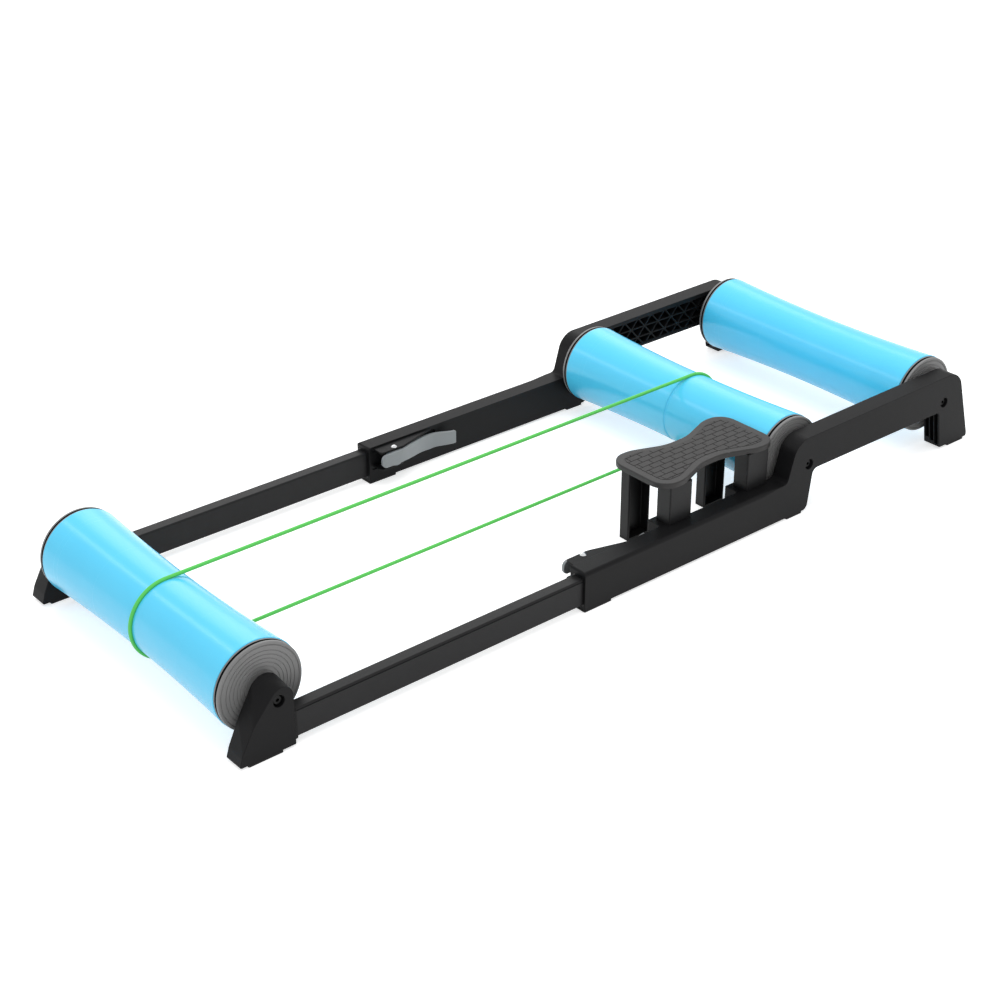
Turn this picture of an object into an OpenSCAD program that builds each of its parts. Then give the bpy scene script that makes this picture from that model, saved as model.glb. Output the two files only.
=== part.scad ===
// Bike rollers: three waisted rollers in a telescoping frame, with a belt and a side step.
// Millimetres, +Z up, +X from the front roller to the rear rollers, +Y to the rider's right.
// The origin lies on the floor below the middle of the object. The step is on the left, at -Y.

/* [Rollers] */
// Diameter of a roller at the ends of its sleeve
roller_end_d = 115.4; // [112:0.2:118]
// Diameter of a roller at its waist
roller_waist_d = 104; // [100:0.5:108]
// Distance between the outer faces of a roller's two caps
roller_w = 410; // [380:1:440]
// Width of each cap that shows beside the sleeve
cap_w = 9; // [8:0.5:14]
// Wall of the sleeve
sleeve_wall = 3; // [2.5:0.1:5]
// Diameter of a cap's outer rim
cap_rim_d = 113.6; // [111:0.2:115]
// Length of the spigot that a cap has inside the sleeve
cap_spigot = 16; // [10:1:30]
// Wall of a cap's face, hub and spigot
cap_wall = 3; // [2.5:0.1:4]
// Ribs behind a cap's face
cap_ribs = 8; // [4:1:12]
// Fine rings that are cut into a cap's face
face_rings = 6; // [3:1:8]

/* [Axles and bearings] */
// Height of the front axle
front_axle_z = 70; // [68:0.5:76]
// Height of the middle axle
middle_axle_z = 73.5; // [72:0.5:78]
// Height of the rear axle
rear_axle_z = 77; // [74:0.5:80]
// Distance from the front axle to the middle axle
front_span = 877; // [820:1:920]
// Distance from the middle axle to the rear axle
rear_span = 293; // [270:1:320]
// Diameter of an axle in its bearings
axle_d = 10; // [9:0.2:10.6]
// Step in an axle's radius that a bearing's inner ring seats on
axle_step = 1; // [0.8:0.1:2]
// Length of an axle's end inside a side frame
axle_seat = 14.6; // [12:0.1:16]
// Outer diameter of a bearing
bearing_d = 26; // [25.4:0.2:30]
// Width of a bearing
bearing_w = 8; // [7:0.5:10]
// Depth of a bearing's face inside the cap's face
bearing_inset = 1.5; // [0.5:0.1:3]
// Diameter of a bearing's balls
ball_d = 4.8; // [4:0.1:5]
// Balls in a bearing
ball_count = 8; // [6:1:9]
// Outer diameter of the spacer between a bearing and the frame
spacer_d = 15; // [14:0.5:18]
// Diameter of an axle bolt's thread
bolt_d = 6; // [5:0.5:6.5]
// Length of an axle bolt's thread inside the axle
bolt_grip = 16; // [12:1:20]
// Diameter of an axle bolt's head
bolt_head_d = 10; // [9:0.2:11]
// Diameter of the washer below the bolt's head
washer_d = 12.6; // [12:0.2:13.4]
// Thickness of the washer
washer_t = 1.6; // [1:0.1:2]
// Diameter of the recess for a bolt's head and washer
recess_d = 15; // [14:0.5:18]

/* [Side frames] */
// Clear distance between a roller's cap and the side frame
side_gap = 8.4; // [6:0.1:14]
// Thickness of a side frame
frame_t = 28.6; // [28:0.2:32]
// Wall of the moulded frame
frame_wall = 3; // [2.4:0.1:3.2]
// Height of the low rail's top
rail_top_z = 57; // [56:0.5:59]
// Distance from the rail's mouth to the middle axle
rail_front = 416; // [390:1:430]
// Height of the raised beam's top above its axles
crown_h = 42; // [40:0.5:45]
// Height of the raised beam's underside
beam_bottom_z = 63.5; // [62.5:0.5:64.5]
// Reach of the rear foot behind the rear axle
heel_reach = 64; // [60:0.5:72]
// Pitch of the crossed ribs in the beam's inner side
lattice_pitch = 29; // [22:1:36]
// Thickness of the ribs
rib_t = 2; // [1.5:0.1:3]
// Radius of the rail's long outer edge
rail_edge_r = 5; // [3:0.5:6]
// Height of the foot pads
pad_h = 3; // [2.5:0.5:4]

/* [Front carriage] */
// Reach of a front bracket's toe ahead of the front axle
toe_reach = 57; // [54:1:64]
// Reach of a front bracket behind the front axle
bracket_back = 19.5; // [18:0.5:26]
// Radius of a front bracket's crown
bracket_r = 20.5; // [18:0.5:22]
// Height of a front bracket's top above its axle
bracket_crown = 23.4; // [22:0.2:26]
// Length of the collar where a tube leaves its bracket
collar_len = 4; // [2:0.5:6]
// Length of a slide tube ahead of the front axle
tube_nose = 30; // [24:1:32]
// Height of a slide tube's section
tube_h = 38.4; // [34:0.2:38.8]
// Width of a slide tube's section
tube_w = 18.6; // [16:0.2:18.8]
// Corner radius of a slide tube's section
tube_r = 2.5; // [2.2:0.1:4]
// Wall of a slide tube
tube_wall = 2; // [1.5:0.1:2.1]
// Height of a slide tube's underside
tube_z = 9; // [8.6:0.1:9.4]
// Length of a slide tube that is inside its rail
tube_overlap = 150; // [140:1:200]
// Diameter of the screw that holds a tube in its bracket
bracket_screw_d = 5; // [4:0.5:6]

/* [Clamps] */
// Distance from the rail's mouth back to the lever's pin
pin_back = 34; // [33:0.5:40]
// Distance from the rail's inner face in to the lever's pin
pin_in = 13.4; // [13:0.1:15]
// Diameter of the lever's pin
pin_d = 6; // [5:0.1:6.6]
// Length of a lever behind its pin
lever_len = 111; // [104:1:118]
// Thickness of the lever's plate
lever_t = 4.5; // [3.5:0.1:5]
// Radius of the lever's cam
cam_r = 10.5; // [10:0.1:10.8]
// Throw of the lever's cam
cam_throw = 2; // [1.5:0.1:2.2]
// Thickness of the two ears that hold the pin
ear_t = 3; // [2.5:0.1:3.5]
// Height of the space between the ears
ear_gap = 23.2; // [23:0.2:24]
// Length of the liner in a rail's mouth
liner_len = 20; // [10:1:20]

/* [Step] */
// Length of the step plate
step_len = 216; // [206:1:220]
// Width of the step plate at its two lobes
step_w = 108; // [100:1:110]
// Width of the step plate at its waist
step_waist = 69.5; // [64:0.5:78]
// Height of the step plate's top
step_z = 120; // [116:0.5:128]
// Thickness of the step plate
step_t = 7.5; // [6:0.5:10]
// Width of the plain border round the tread
tread_border = 12; // [8:0.5:13]
// Clear distance between the step's rear legs and the middle roller
step_clear = 4.3; // [3:0.1:8]
// Width of a step leg along the frame
leg_w = 40; // [34:0.5:42]
// Distance between the front faces of the two leg frames
leg_pitch = 146; // [136:1:150]
// Depth of a near leg across the frame
near_leg_t = 18; // [14:0.5:20]
// Depth of a far leg across the frame
far_leg_t = 17; // [14:0.5:20]
// Clear distance between a near leg and a far leg
leg_gap = 52; // [46:1:56]
// Wall of the legs
leg_wall = 3; // [2.5:0.1:4]
// Diameter of the screws in the legs and the plate
step_screw_d = 4; // [3:0.5:5]

/* [Belt] */
// Diameter of the round belt
belt_d = 5; // [4:0.1:6]
// Distance of the belt from the middle, on the step's side
belt_off = 10; // [0:1:20]

/* [Clearances] */
// Radial gap of a turned fit, such as an axle in a bearing
run_fit = 0.05; // [0.02:0.01:0.08]
// Gap round a piece that slides or is seated in a moulded socket
slide_fit = 0.3; // [0.2:0.05:0.4]
// Gap between a slide tube and its rail
channel_play = 0.8; // [0.7:0.05:0.9]
// Gap between a slide tube and the rail's mouth, before the liner goes in
liner_play = 1.6; // [1.2:0.1:1.7]

/* [Hidden] */
$fn = 96;

roller_blue = "#5fc6f7";
cap_grey = "#7a7a7a";
frame_black = "#2e2e2e";
tube_black = "#3a3a3a";
lever_grey = "#8a8e90";
steel = "#b8bcc0";
rubber_black = "#1c1c1c";
step_grey = "#5a5758";
belt_green = "#5fcb5f";

// Places along X; the front roller may stand out ahead of the brackets' toes
front_reach = max(toe_reach, roller_end_d / 2);
overall = front_reach + front_span + rear_span + heel_reach;
front_x = front_reach - overall / 2;
middle_x = front_x + front_span;
rear_x = middle_x + rear_span;
mouth_x = middle_x - rail_front;

// Distances from the middle plane; the right half is drawn and the left half mirrors it
roller_half = roller_w / 2;
sleeve_half = roller_half - cap_w;
inner_y = roller_half + side_gap;
outer_y = inner_y + frame_t;
tube_y = outer_y - frame_wall - channel_play - tube_w / 2;

// Sleeve: a parabola from the waist to the ends, with a turned seat for each cap's spigot
function roller_r(y) = roller_waist_d / 2 + (roller_end_d - roller_waist_d) / 2 * pow(y / sleeve_half, 2);
sleeve_steps = 24;
seat_r = roller_end_d / 2 - sleeve_wall;
seat_y = sleeve_half - cap_spigot;

// The belt runs in a shallow groove, and its middle turns about the axles on this radius
groove_depth = 1.5;
belt_path_r = roller_r(belt_off) - groove_depth + slide_fit + belt_d / 2;

// Cap and bearing
spigot_r = seat_r - run_fit;
rim_r = cap_rim_d / 2;
band_w = 2.4;
band_groove_w = 2.8;
band_groove_depth = 2.2;
rim_chamfer = 0.8;
bearing_y1 = roller_half - bearing_inset;
bearing_y0 = bearing_y1 - bearing_w;
bearing_mid = (bearing_y0 + bearing_y1) / 2;
bore_r = bearing_d / 2 + run_fit;
hub_r = bore_r + cap_wall;
lip_r = bore_r - 2;
face_ring_w = 0.9;
face_ring_depth = 0.7;
pitch_r = (axle_d + bearing_d) / 4;
ball_r = ball_d / 2;
race_r = ball_r + run_fit;
shoulder = 0.65 * ball_r;

// Axle and its bolts
axle_r = axle_d / 2;
axle_bore_r = axle_r + run_fit;
seat_web = 3;
seat_end = inner_y + axle_seat;
recess_y = seat_end + seat_web;
thread_r = bolt_d / 2 + run_fit;
bolt_hole_r = bolt_d / 2 + slide_fit;
bolt_head_h = bolt_d;
socket_depth = bolt_d / 2;
socket_r = bolt_head_d / 4;

// Beam and feet
top_front_x = middle_x - 26;
top_rear_x = rear_x + heel_reach - 33;
shoulder_x = middle_x - 43;
leg_rear_x = middle_x + 1.5;
heel_front_x = rear_x + 1;
leg_lean = 8;
pocket_front_x = middle_x + 28;
pocket_rear_x = rear_x - 20;
pocket_rim = 4.5;
lattice_lead = 9;
lattice_rise = 16;
lattice_z = beam_bottom_z + 2 * lattice_rise + rib_t / 4;
slot_count = 3;
slot_w = (frame_t - 2 * frame_wall - (slot_count - 1) * rib_t) / slot_count;
heel_wall = 4;
foot_len = 47;
middle_foot_len = 31;
middle_foot_lead = 8;
rear_foot_len = 37;
rear_foot_lead = 7;
front_foot_lead = 12;
mouth_foot = [mouth_x, mouth_x + foot_len];
middle_foot = [middle_x - middle_foot_lead - middle_foot_len, middle_x - middle_foot_lead];
rear_foot = [rear_x + heel_reach - rear_foot_lead - rear_foot_len, rear_x + heel_reach - rear_foot_lead];
front_foot = [front_x - toe_reach + front_foot_lead, front_x - toe_reach + front_foot_lead + foot_len];

// Slide tubes
tube_front_x = front_x - tube_nose;
tube_rear_x = mouth_x + tube_overlap;
plug_insert = 15;
plug_flange = 3;
groove_w = 1;
groove_below_top = 2.5;
bracket_rim = 1;
bracket_face_r = bracket_r - 5;
bracket_top_z = front_axle_z + bracket_crown;
bracket_face_z = bracket_top_z - 7;
bracket_screw_x = front_x - 8;
bracket_screw_z = tube_z + tube_h / 2;
screw_head_h = 2.2;

// Clamps: a lever turns on a pin between two ears, and its cam presses a pad on the tube
pin_x = mouth_x + pin_back;
pin_y = inner_y - pin_in;
ear_z0 = 28;
ear_z1 = ear_z0 + ear_gap;
ear_y = pin_y - 5.5;
lever_recess = 2;
cam_angle = 70;
cam_x = cam_throw * cos(cam_angle);
cam_y = cam_throw * sin(cam_angle);
ear_front = 26;
ear_round = 12;
upper_ear_reach = 77;
lower_ear_reach = 30;
lever_nose = 27.5;
lever_in = 8;
lever_out = 18;
lever_swing = 70;
lever_back = 11;
lever_bend = 35;
lever_steps = 28;
lever_top_z = ear_z1 - 0.7;
lever_belly = [lever_len - 43, ear_z0 - 4];
lever_tail_z = [ear_z0 - 2, ear_z1 - 5.7];
recess_lead = lever_nose + 2.5;
recess_reach = lever_len - 26;
window_w = 22;
window_z0 = 31;
window_z1 = 49;
pin_head_d = pin_d + 3;
pin_head_h = 2.8;

// Step, drawn on the right and mirrored to the left
leg_y1 = inner_y;
leg_y0 = leg_y1 - near_leg_t;
leg_lap = 7.6;
far_y1 = leg_y0 - leg_gap;
far_y0 = far_y1 - far_leg_t;
step_y = (leg_y1 + far_y0) / 2;
rear_leg_x = middle_x - roller_end_d / 2 - step_clear - leg_w;
front_leg_x = rear_leg_x - leg_pitch;
step_x = (front_leg_x + rear_leg_x + leg_w) / 2;
lobe_len = 38;
waist_len = 40;
plate_bottom = step_z - step_t;
leg_bar_h = 8;
bar_bottom = plate_bottom - leg_bar_h;
tread_recess = 1.2;
tread_base = 0.8;
tread_proud = 0.3;
brick_w = 10.9;
brick_len = 20;
brick_groove = 1;
socket_lead = 10;
socket_wall = 5.1;
socket_z0 = 31;
socket_screw_z = 44;
socket_screw_end = inner_y + 4.1;
plate_screw_y = 12;
plate_screw_grip = 5;

// Shared shapes

function unit(v) = v / norm(v);

// The arc of radius b.z that rounds the corner b between its neighbours a and c
function corner(a, b, c) =
    let (u = unit([a.x - b.x, a.y - b.y]),
         w = unit([c.x - b.x, c.y - b.y]),
         half = acos(u * w) / 2,
         mid = [b.x, b.y] + unit(u + w) * b.z / sin(half),
         start = [b.x, b.y] + u * b.z / tan(half) - mid,
         stop = [b.x, b.y] + w * b.z / tan(half) - mid,
         from = atan2(start.y, start.x),
         turn = atan2(stop.y, stop.x) - from,
         sweep = turn > 180 ? turn - 360 : turn < -180 ? turn + 360 : turn,
         steps = max(2, ceil(abs(sweep) / 9)))
    [for (i = [0:steps]) mid + b.z * [cos(from + sweep * i / steps), sin(from + sweep * i / steps)]];

// An outline from corners [x, y, radius]
function rounded(corners) =
    let (n = len(corners))
    [for (i = [0:n - 1]) each corner(corners[(i + n - 1) % n], corners[i], corners[(i + 1) % n])];

// Moves each side of a counter-clockwise outline of corners inwards by d
function inset(corners, d) =
    let (n = len(corners))
    [for (i = [0:n - 1])
        let (a = corners[(i + n - 1) % n], b = corners[i], c = corners[(i + 1) % n],
             u = unit([b.x - a.x, b.y - a.y]),
             w = unit([c.x - b.x, c.y - b.y]),
             p = [-u.y, u.x],
             q = [-w.y, w.x],
             reach = d / (1 + p * q))
        [b.x + reach * (p.x + q.x), b.y + reach * (p.y + q.y), b.z - d * sign(u.x * w.y - u.y * w.x)]];

// Corners of a box from a to b
function box_corners(a, b, r) = [[a.x, a.y, r], [b.x, a.y, r], [b.x, b.y, r], [a.x, b.y, r]];

// Extrudes an X-Z outline from y0 to y1
module slab(y0, y1) {
    translate([0, y1, 0]) rotate([90, 0, 0]) linear_extrude(y1 - y0) children();
}

// Extrudes a Y-Z section from x0 to x1
module along(x0, x1) {
    translate([x0, 0, 0]) rotate([90, 0, 90]) linear_extrude(x1 - x0) children();
}

// Extrudes an X-Y outline from z0 to z1
module level(z0, z1) {
    translate([0, 0, z0]) linear_extrude(z1 - z0) children();
}

// Lays a turned shape's own Z axis along Y at x and z
module on_axle(x, z) {
    translate([x, 0, z]) rotate([-90, 0, 0]) children();
}

module on_front() on_axle(front_x, front_axle_z) children();
module on_middle() on_axle(middle_x, middle_axle_z) children();
module on_rear() on_axle(rear_x, rear_axle_z) children();

module left() mirror([0, 1, 0]) children();

module both_sides() {
    children();
    left() children();
}

// Both ends of a shape that is turned about its own Z axis
module both_ends() {
    children();
    mirror([0, 0, 1]) children();
}

// A round bar from z0 to z1
module bar(r, z0, z1) {
    translate([0, 0, z0]) cylinder(r = r, h = z1 - z0);
}

// A tube from z0 to z1
module ring(outer_r, inner_r, z0, z1) {
    difference() {
        bar(outer_r, z0, z1);
        bar(inner_r, z0 - 1, z1 + 1);
    }
}

// Rollers

module roller_sleeve(grooved) color(roller_blue) difference() {
    rotate_extrude() polygon(concat(
        [for (i = [-sleeve_steps:2:sleeve_steps])
            let (y = sleeve_half * i / sleeve_steps) [roller_r(y), y]],
        [[seat_r, sleeve_half], [seat_r, seat_y]],
        [for (i = [sleeve_steps:-2:-sleeve_steps])
            let (y = seat_y * i / sleeve_steps) [roller_r(y) - sleeve_wall, y]],
        [[seat_r, -seat_y], [seat_r, -sleeve_half]]));
    if (grooved)
        rotate_extrude() translate([belt_path_r, -belt_off]) circle(belt_d / 2 + slide_fit);
}

module cap_profile() {
    polygon([
        [bore_r, roller_half], [bore_r, bearing_y0], [lip_r, bearing_y0],
        [lip_r, bearing_y0 - cap_wall], [hub_r, bearing_y0 - cap_wall],
        [hub_r, roller_half - cap_wall], [spigot_r - cap_wall, roller_half - cap_wall],
        [spigot_r - cap_wall, seat_y], [spigot_r, seat_y], [spigot_r, sleeve_half],
        [rim_r, sleeve_half], [rim_r, sleeve_half + band_w],
        [rim_r - band_groove_depth, sleeve_half + band_w],
        [rim_r - band_groove_depth, sleeve_half + band_w + band_groove_w],
        [rim_r, sleeve_half + band_w + band_groove_w],
        [rim_r, roller_half - rim_chamfer], [rim_r - rim_chamfer, roller_half]]);
}

module roller_cap() color(cap_grey) difference() {
    union() {
        rotate_extrude() cap_profile();
        for (i = [0:cap_ribs - 1]) rotate([0, 0, 360 / cap_ribs * i])
            translate([hub_r - 0.5, -cap_wall / 2, bearing_y0 - cap_wall])
                cube([spigot_r - cap_wall - hub_r + 1, cap_wall, bearing_w + bearing_inset + 0.5]);
    }
    for (i = [1:face_rings])
        rotate_extrude()
            translate([hub_r + (rim_r - hub_r) * i / (face_rings + 1), roller_half - face_ring_depth])
                square([face_ring_w, face_ring_depth + 1]);
}

module outer_rings() color(steel) both_ends() rotate_extrude() difference() {
    translate([pitch_r + shoulder, bearing_y0])
        square([bearing_d / 2 - pitch_r - shoulder, bearing_w]);
    translate([pitch_r, bearing_mid]) circle(race_r);
}

module inner_rings() color(steel) both_ends() rotate_extrude() difference() {
    translate([axle_bore_r, bearing_y0])
        square([pitch_r - shoulder - axle_bore_r, bearing_w]);
    translate([pitch_r, bearing_mid]) circle(race_r);
}

module balls() color(steel) both_ends()
    for (i = [0:ball_count - 1]) rotate([0, 0, 360 / ball_count * i])
        translate([pitch_r, 0, bearing_mid]) sphere(r = ball_r);

module axle() color(steel) difference() {
    union() {
        bar(axle_r, -seat_end + run_fit, seat_end - run_fit);
        bar(axle_r + axle_step, -bearing_y0 + run_fit, bearing_y0 - run_fit);
    }
    both_ends() bar(thread_r, seat_end - bolt_grip - 2, seat_end + 1);
}

module spacers() color(steel) both_ends()
    ring(spacer_d / 2, axle_bore_r, bearing_y1 + run_fit, inner_y - run_fit);

module washers() color(steel) both_ends()
    ring(washer_d / 2, bolt_hole_r, recess_y, recess_y + washer_t);

module bolts() color(steel) both_ends() difference() {
    union() {
        bar(bolt_d / 2, seat_end - bolt_grip, recess_y + washer_t + 1);
        bar(bolt_head_d / 2, recess_y + washer_t, recess_y + washer_t + bolt_head_h);
    }
    translate([0, 0, recess_y + washer_t + bolt_head_h - socket_depth])
        cylinder(r = socket_r, h = socket_depth + 1, $fn = 6);
}

// Seat, bolt hole and head recess of an axle's right end in a frame or bracket
module axle_cut(x, z) on_axle(x, z) {
    bar(axle_bore_r, inner_y - 1, seat_end);
    bar(bolt_hole_r, seat_end - 1, recess_y + 1);
    bar(recess_d / 2, recess_y, outer_y + 1);
}

// Side frames

module tube_section(grow) {
    polygon(rounded(box_corners([tube_y - tube_w / 2 - grow, tube_z - grow],
        [tube_y + tube_w / 2 + grow, tube_z + tube_h + grow], tube_r + grow)));
}

module frame_outline() {
    polygon(rounded([
        [mouth_x, pad_h, 2],
        [leg_rear_x, pad_h, 9],
        [leg_rear_x + leg_lean, beam_bottom_z, 9],
        [heel_front_x - leg_lean - 2.5, beam_bottom_z, 5],
        [heel_front_x, pad_h, 2],
        [rear_x + heel_reach, pad_h, 2.5],
        [rear_x + heel_reach, pad_h + 6, 10],
        [top_rear_x, rear_axle_z + crown_h, 30],
        [top_front_x, middle_axle_z + crown_h, 28],
        [shoulder_x, rail_top_z, 8],
        [mouth_x, rail_top_z, 3]]));
}

// Crossed ribs: each rib runs from one row of crossings to the next, half a pitch further on
module lattice() {
    lean = atan2(lattice_rise, lattice_pitch / 2);
    count = ceil((pocket_rear_x - pocket_front_x) / lattice_pitch) + 2;
    for (i = [-3:count], side = [-1, 1])
        translate([pocket_front_x + lattice_lead + lattice_pitch * i, lattice_z])
            rotate(side * lean) square([4 * crown_h, rib_t], center = true);
}

module beam_pocket() {
    low = beam_bottom_z + pocket_rim;
    high = middle_axle_z + crown_h - pocket_rim;
    difference() {
        polygon(rounded(box_corners([pocket_front_x, low], [pocket_rear_x, high], 4)));
        lattice();
    }
}

// Slots between the rear leg's ribs, open to the front, with floors that step down outwards
module heel_slots() {
    for (i = [0:slot_count - 1]) {
        y0 = inner_y + frame_wall + i * (slot_w + rib_t);
        floor_z = pad_h + 11 - 3.5 * i;
        slab(y0, y0 + slot_w) polygon(rounded([
            [heel_front_x - 20, floor_z, 1],
            [rear_x + heel_reach - heel_wall - 3, floor_z, 3],
            [rear_x + heel_reach - heel_wall - 18, beam_bottom_z, 3],
            [heel_front_x - 20, beam_bottom_z, 1]]));
    }
}

// An ear's outline: a lip round the pin that tapers back into the rail's face
module ear_outline(reach, back) {
    polygon(rounded([
        [pin_x - ear_front, inner_y + back, 0.4],
        [pin_x - ear_front, ear_y, 5],
        [pin_x + ear_round, ear_y, 16],
        [pin_x + reach, inner_y - 0.5, 1],
        [pin_x + reach, inner_y + back, 0.4]]));
}

module side_frame() color(frame_black) difference() {
    union() {
        difference() {
            slab(inner_y, outer_y) frame_outline();
            slab(inner_y - 1, inner_y + lever_recess)
                polygon(rounded(box_corners([pin_x - recess_lead, ear_z0 - 7],
                    [pin_x + recess_reach, ear_z1 - slide_fit], 3)));
        }
        level(ear_z1, ear_z1 + ear_t) ear_outline(upper_ear_reach, 1);
        level(ear_z0 - ear_t, ear_z0) ear_outline(lower_ear_reach, lever_recess + 1);
    }
    along(mouth_x - 1, leg_rear_x + leg_lean + 10) tube_section(channel_play);
    along(mouth_x - 1, mouth_x + liner_len + slide_fit) tube_section(liner_play);
    slab(inner_y - 1, tube_y) polygon(rounded(box_corners(
        [pin_x - window_w / 2, window_z0], [pin_x + window_w / 2, window_z1], 1)));
    translate([pin_x, pin_y, 0]) bar(pin_d / 2 + run_fit, ear_z0 - ear_t - 1, ear_z1 + ear_t + 1);
    axle_cut(middle_x, middle_axle_z);
    axle_cut(rear_x, rear_axle_z);
    slab(inner_y - 1, outer_y - frame_wall) beam_pocket();
    heel_slots();
    rail_edge_cut();
}

// Rounds the rail's long outer edge up to the beam's shoulder
module rail_edge_cut() {
    along(mouth_x - 1, shoulder_x - 8) difference() {
        translate([outer_y - rail_edge_r, rail_top_z - rail_edge_r]) square(rail_edge_r + 1);
        translate([outer_y - rail_edge_r, rail_top_z - rail_edge_r]) circle(rail_edge_r);
    }
}

// The left frame also takes the two screws of the step's sockets
module left_side_frame() difference() {
    left() side_frame();
    left() socket_screw_places() bar(step_screw_d / 2 + run_fit, inner_y - 1, socket_screw_end + slide_fit);
}

module mouth_liners() color(rubber_black) both_sides()
    along(mouth_x, mouth_x + liner_len) difference() {
        tube_section(liner_play - run_fit);
        tube_section(slide_fit);
    }

module foot_pad(span) {
    level(0, pad_h) polygon(rounded(box_corners([span[0], inner_y], [span[1], outer_y], 2)));
}

module mouth_feet() color(rubber_black) both_sides() foot_pad(mouth_foot);
module middle_feet() color(rubber_black) both_sides() foot_pad(middle_foot);
module rear_feet() color(rubber_black) both_sides() foot_pad(rear_foot);
module front_feet() color(rubber_black) both_sides() foot_pad(front_foot);

// Front carriage

// Where a flank, at an angle off upright, meets the level top when the crown's radius is r
function crown_x(r, flank) = front_x + bracket_back - r * (1 + tan((90 - flank) / 2)) - 0.1;

module bracket_outline() polygon(rounded([
    [front_x - toe_reach, pad_h, 2.5],
    [front_x + bracket_back, pad_h, 1.5],
    [front_x + bracket_back, bracket_top_z, bracket_r],
    [crown_x(bracket_r, 29.4), bracket_top_z, bracket_r],
    [crown_x(bracket_r, 29.4) - 43.4 * tan(29.4), bracket_top_z - 43.4, 50],
    [front_x - toe_reach + 4.5, pad_h + 15, 25]]));

// Fills the space beyond the plane through three points, on the side that its normal points to
module beyond(a, b, c) {
    normal = cross(b - a, c - b);
    translate(a) rotate([0, acos(normal[2] / norm(normal)), atan2(normal[1], normal[0])])
        translate([-80, -80, 0]) cube([160, 160, 60]);
}

// The bracket narrows toward its outer face: its crown slopes down there and its flank leans back
module bracket_body() {
    y0 = inner_y + bracket_rim;
    y1 = outer_y - bracket_rim;
    in_x = crown_x(bracket_r, 29.4);
    out_x = crown_x(bracket_face_r, 41);
    difference() {
        slab(inner_y, outer_y) bracket_outline();
        beyond([front_x, y0, bracket_top_z], [front_x + 50, y0, bracket_top_z],
            [front_x + 50, y1, bracket_face_z]);
        beyond([in_x, y0, bracket_top_z], [out_x, y1, bracket_face_z],
            [out_x - 37 * tan(41), y1, bracket_face_z - 37]);
        beyond([front_x, y0, bracket_top_z + 7.5], [front_x + 20, y0, bracket_top_z - 12.5],
            [front_x + 20, y1, bracket_top_z - 16.6]);
    }
}

module front_bracket() color(frame_black) difference() {
    union() {
        bracket_body();
        along(front_x + bracket_back - 1, front_x + bracket_back + collar_len)
            tube_section(frame_wall - slide_fit);
    }
    along(tube_front_x - slide_fit, front_x + bracket_back + collar_len + 1) tube_section(slide_fit);
    axle_cut(front_x, front_axle_z);
    on_axle(bracket_screw_x, bracket_screw_z) bar(bracket_screw_d / 2 + run_fit, inner_y - 1, tube_y);
}

module slide_tube() color(tube_black) difference() {
    along(tube_front_x, tube_rear_x) difference() {
        tube_section(0);
        tube_section(-tube_wall);
        translate([tube_y + tube_w / 2 - 0.8, tube_z + tube_h - groove_below_top - groove_w])
            square([2, groove_w]);
    }
    on_axle(bracket_screw_x, bracket_screw_z) bar(bracket_screw_d / 2 + run_fit, inner_y, tube_y);
}

module tube_end_plugs() color(rubber_black) both_sides() {
    along(tube_rear_x - plug_insert, tube_rear_x + 1) tube_section(-tube_wall - run_fit);
    along(tube_rear_x, tube_rear_x + plug_flange) tube_section(channel_play - slide_fit);
}

module bracket_screws() color(steel) both_sides() on_axle(bracket_screw_x, bracket_screw_z) {
    bar(bracket_screw_d / 2, inner_y - 1, tube_y - 3);
    difference() {
        bar(bracket_screw_d * 0.9, inner_y - screw_head_h, inner_y);
        translate([0, 0, inner_y - screw_head_h - 1]) cylinder(r = bracket_screw_d * 0.3, h = 2, $fn = 6);
    }
}

// Clamps

function smooth(t) = let (s = min(1, max(0, t))) s * s * (3 - 2 * s);

// Distance of the lever's middle line from its pin, at x behind the pin: out to the rail and back
function lever_line(x) =
    -lever_in + lever_out * smooth(x / lever_swing) - lever_back * smooth((x - lever_len) / lever_bend + 1);

// Half thickness measured along Y, so that the plate keeps its thickness where it slants
function lever_half(x) = lever_t / 2 * norm([1, (lever_line(x + 0.5) - lever_line(x - 0.5))]);

module lever_plan() {
    places = [for (i = [0:lever_steps]) -lever_nose + (lever_nose + lever_len) * i / lever_steps];
    polygon(concat(
        [for (x = places) [x, lever_line(x) - lever_half(x)]],
        [for (i = [lever_steps:-1:0]) let (x = places[i]) [x, lever_line(x) + lever_half(x)]]));
}

module lever_side() {
    polygon(rounded([
        [-lever_nose, window_z0, 8],
        [lever_nose / 2, window_z0, 30],
        [lever_belly.x, lever_belly.y, 30],
        [lever_len, lever_tail_z[0], 1.5],
        [lever_len, lever_tail_z[1], 1.5],
        [lever_belly.x + 7, lever_tail_z[1] + 1.5, 60],
        [lever_nose, lever_top_z, 60],
        [-lever_nose, lever_top_z, 8]]));
}

module cam_lever() color(lever_grey) translate([pin_x, pin_y, 0]) difference() {
    union() {
        intersection() {
            level(0, rail_top_z) lever_plan();
            slab(-lever_out - lever_in, lever_out + lever_in) lever_side();
        }
        translate([cam_x, cam_y, ear_z0 + slide_fit]) cylinder(r = cam_r, h = ear_gap - 2 * slide_fit);
    }
    cylinder(r = pin_d / 2 + run_fit, h = rail_top_z);
}

module cam_pins() color(steel) both_sides() translate([pin_x, pin_y, 0]) {
    bar(pin_d / 2, ear_z0 - ear_t - 1, ear_z1 + ear_t + 0.5);
    rotate_extrude() intersection() {
        translate([0, ear_z1 + ear_t]) square([pin_head_d / 2, pin_head_h]);
        translate([0, ear_z1 + ear_t + pin_head_h - pin_head_d * 0.62]) circle(pin_head_d * 0.62);
    }
}

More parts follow.
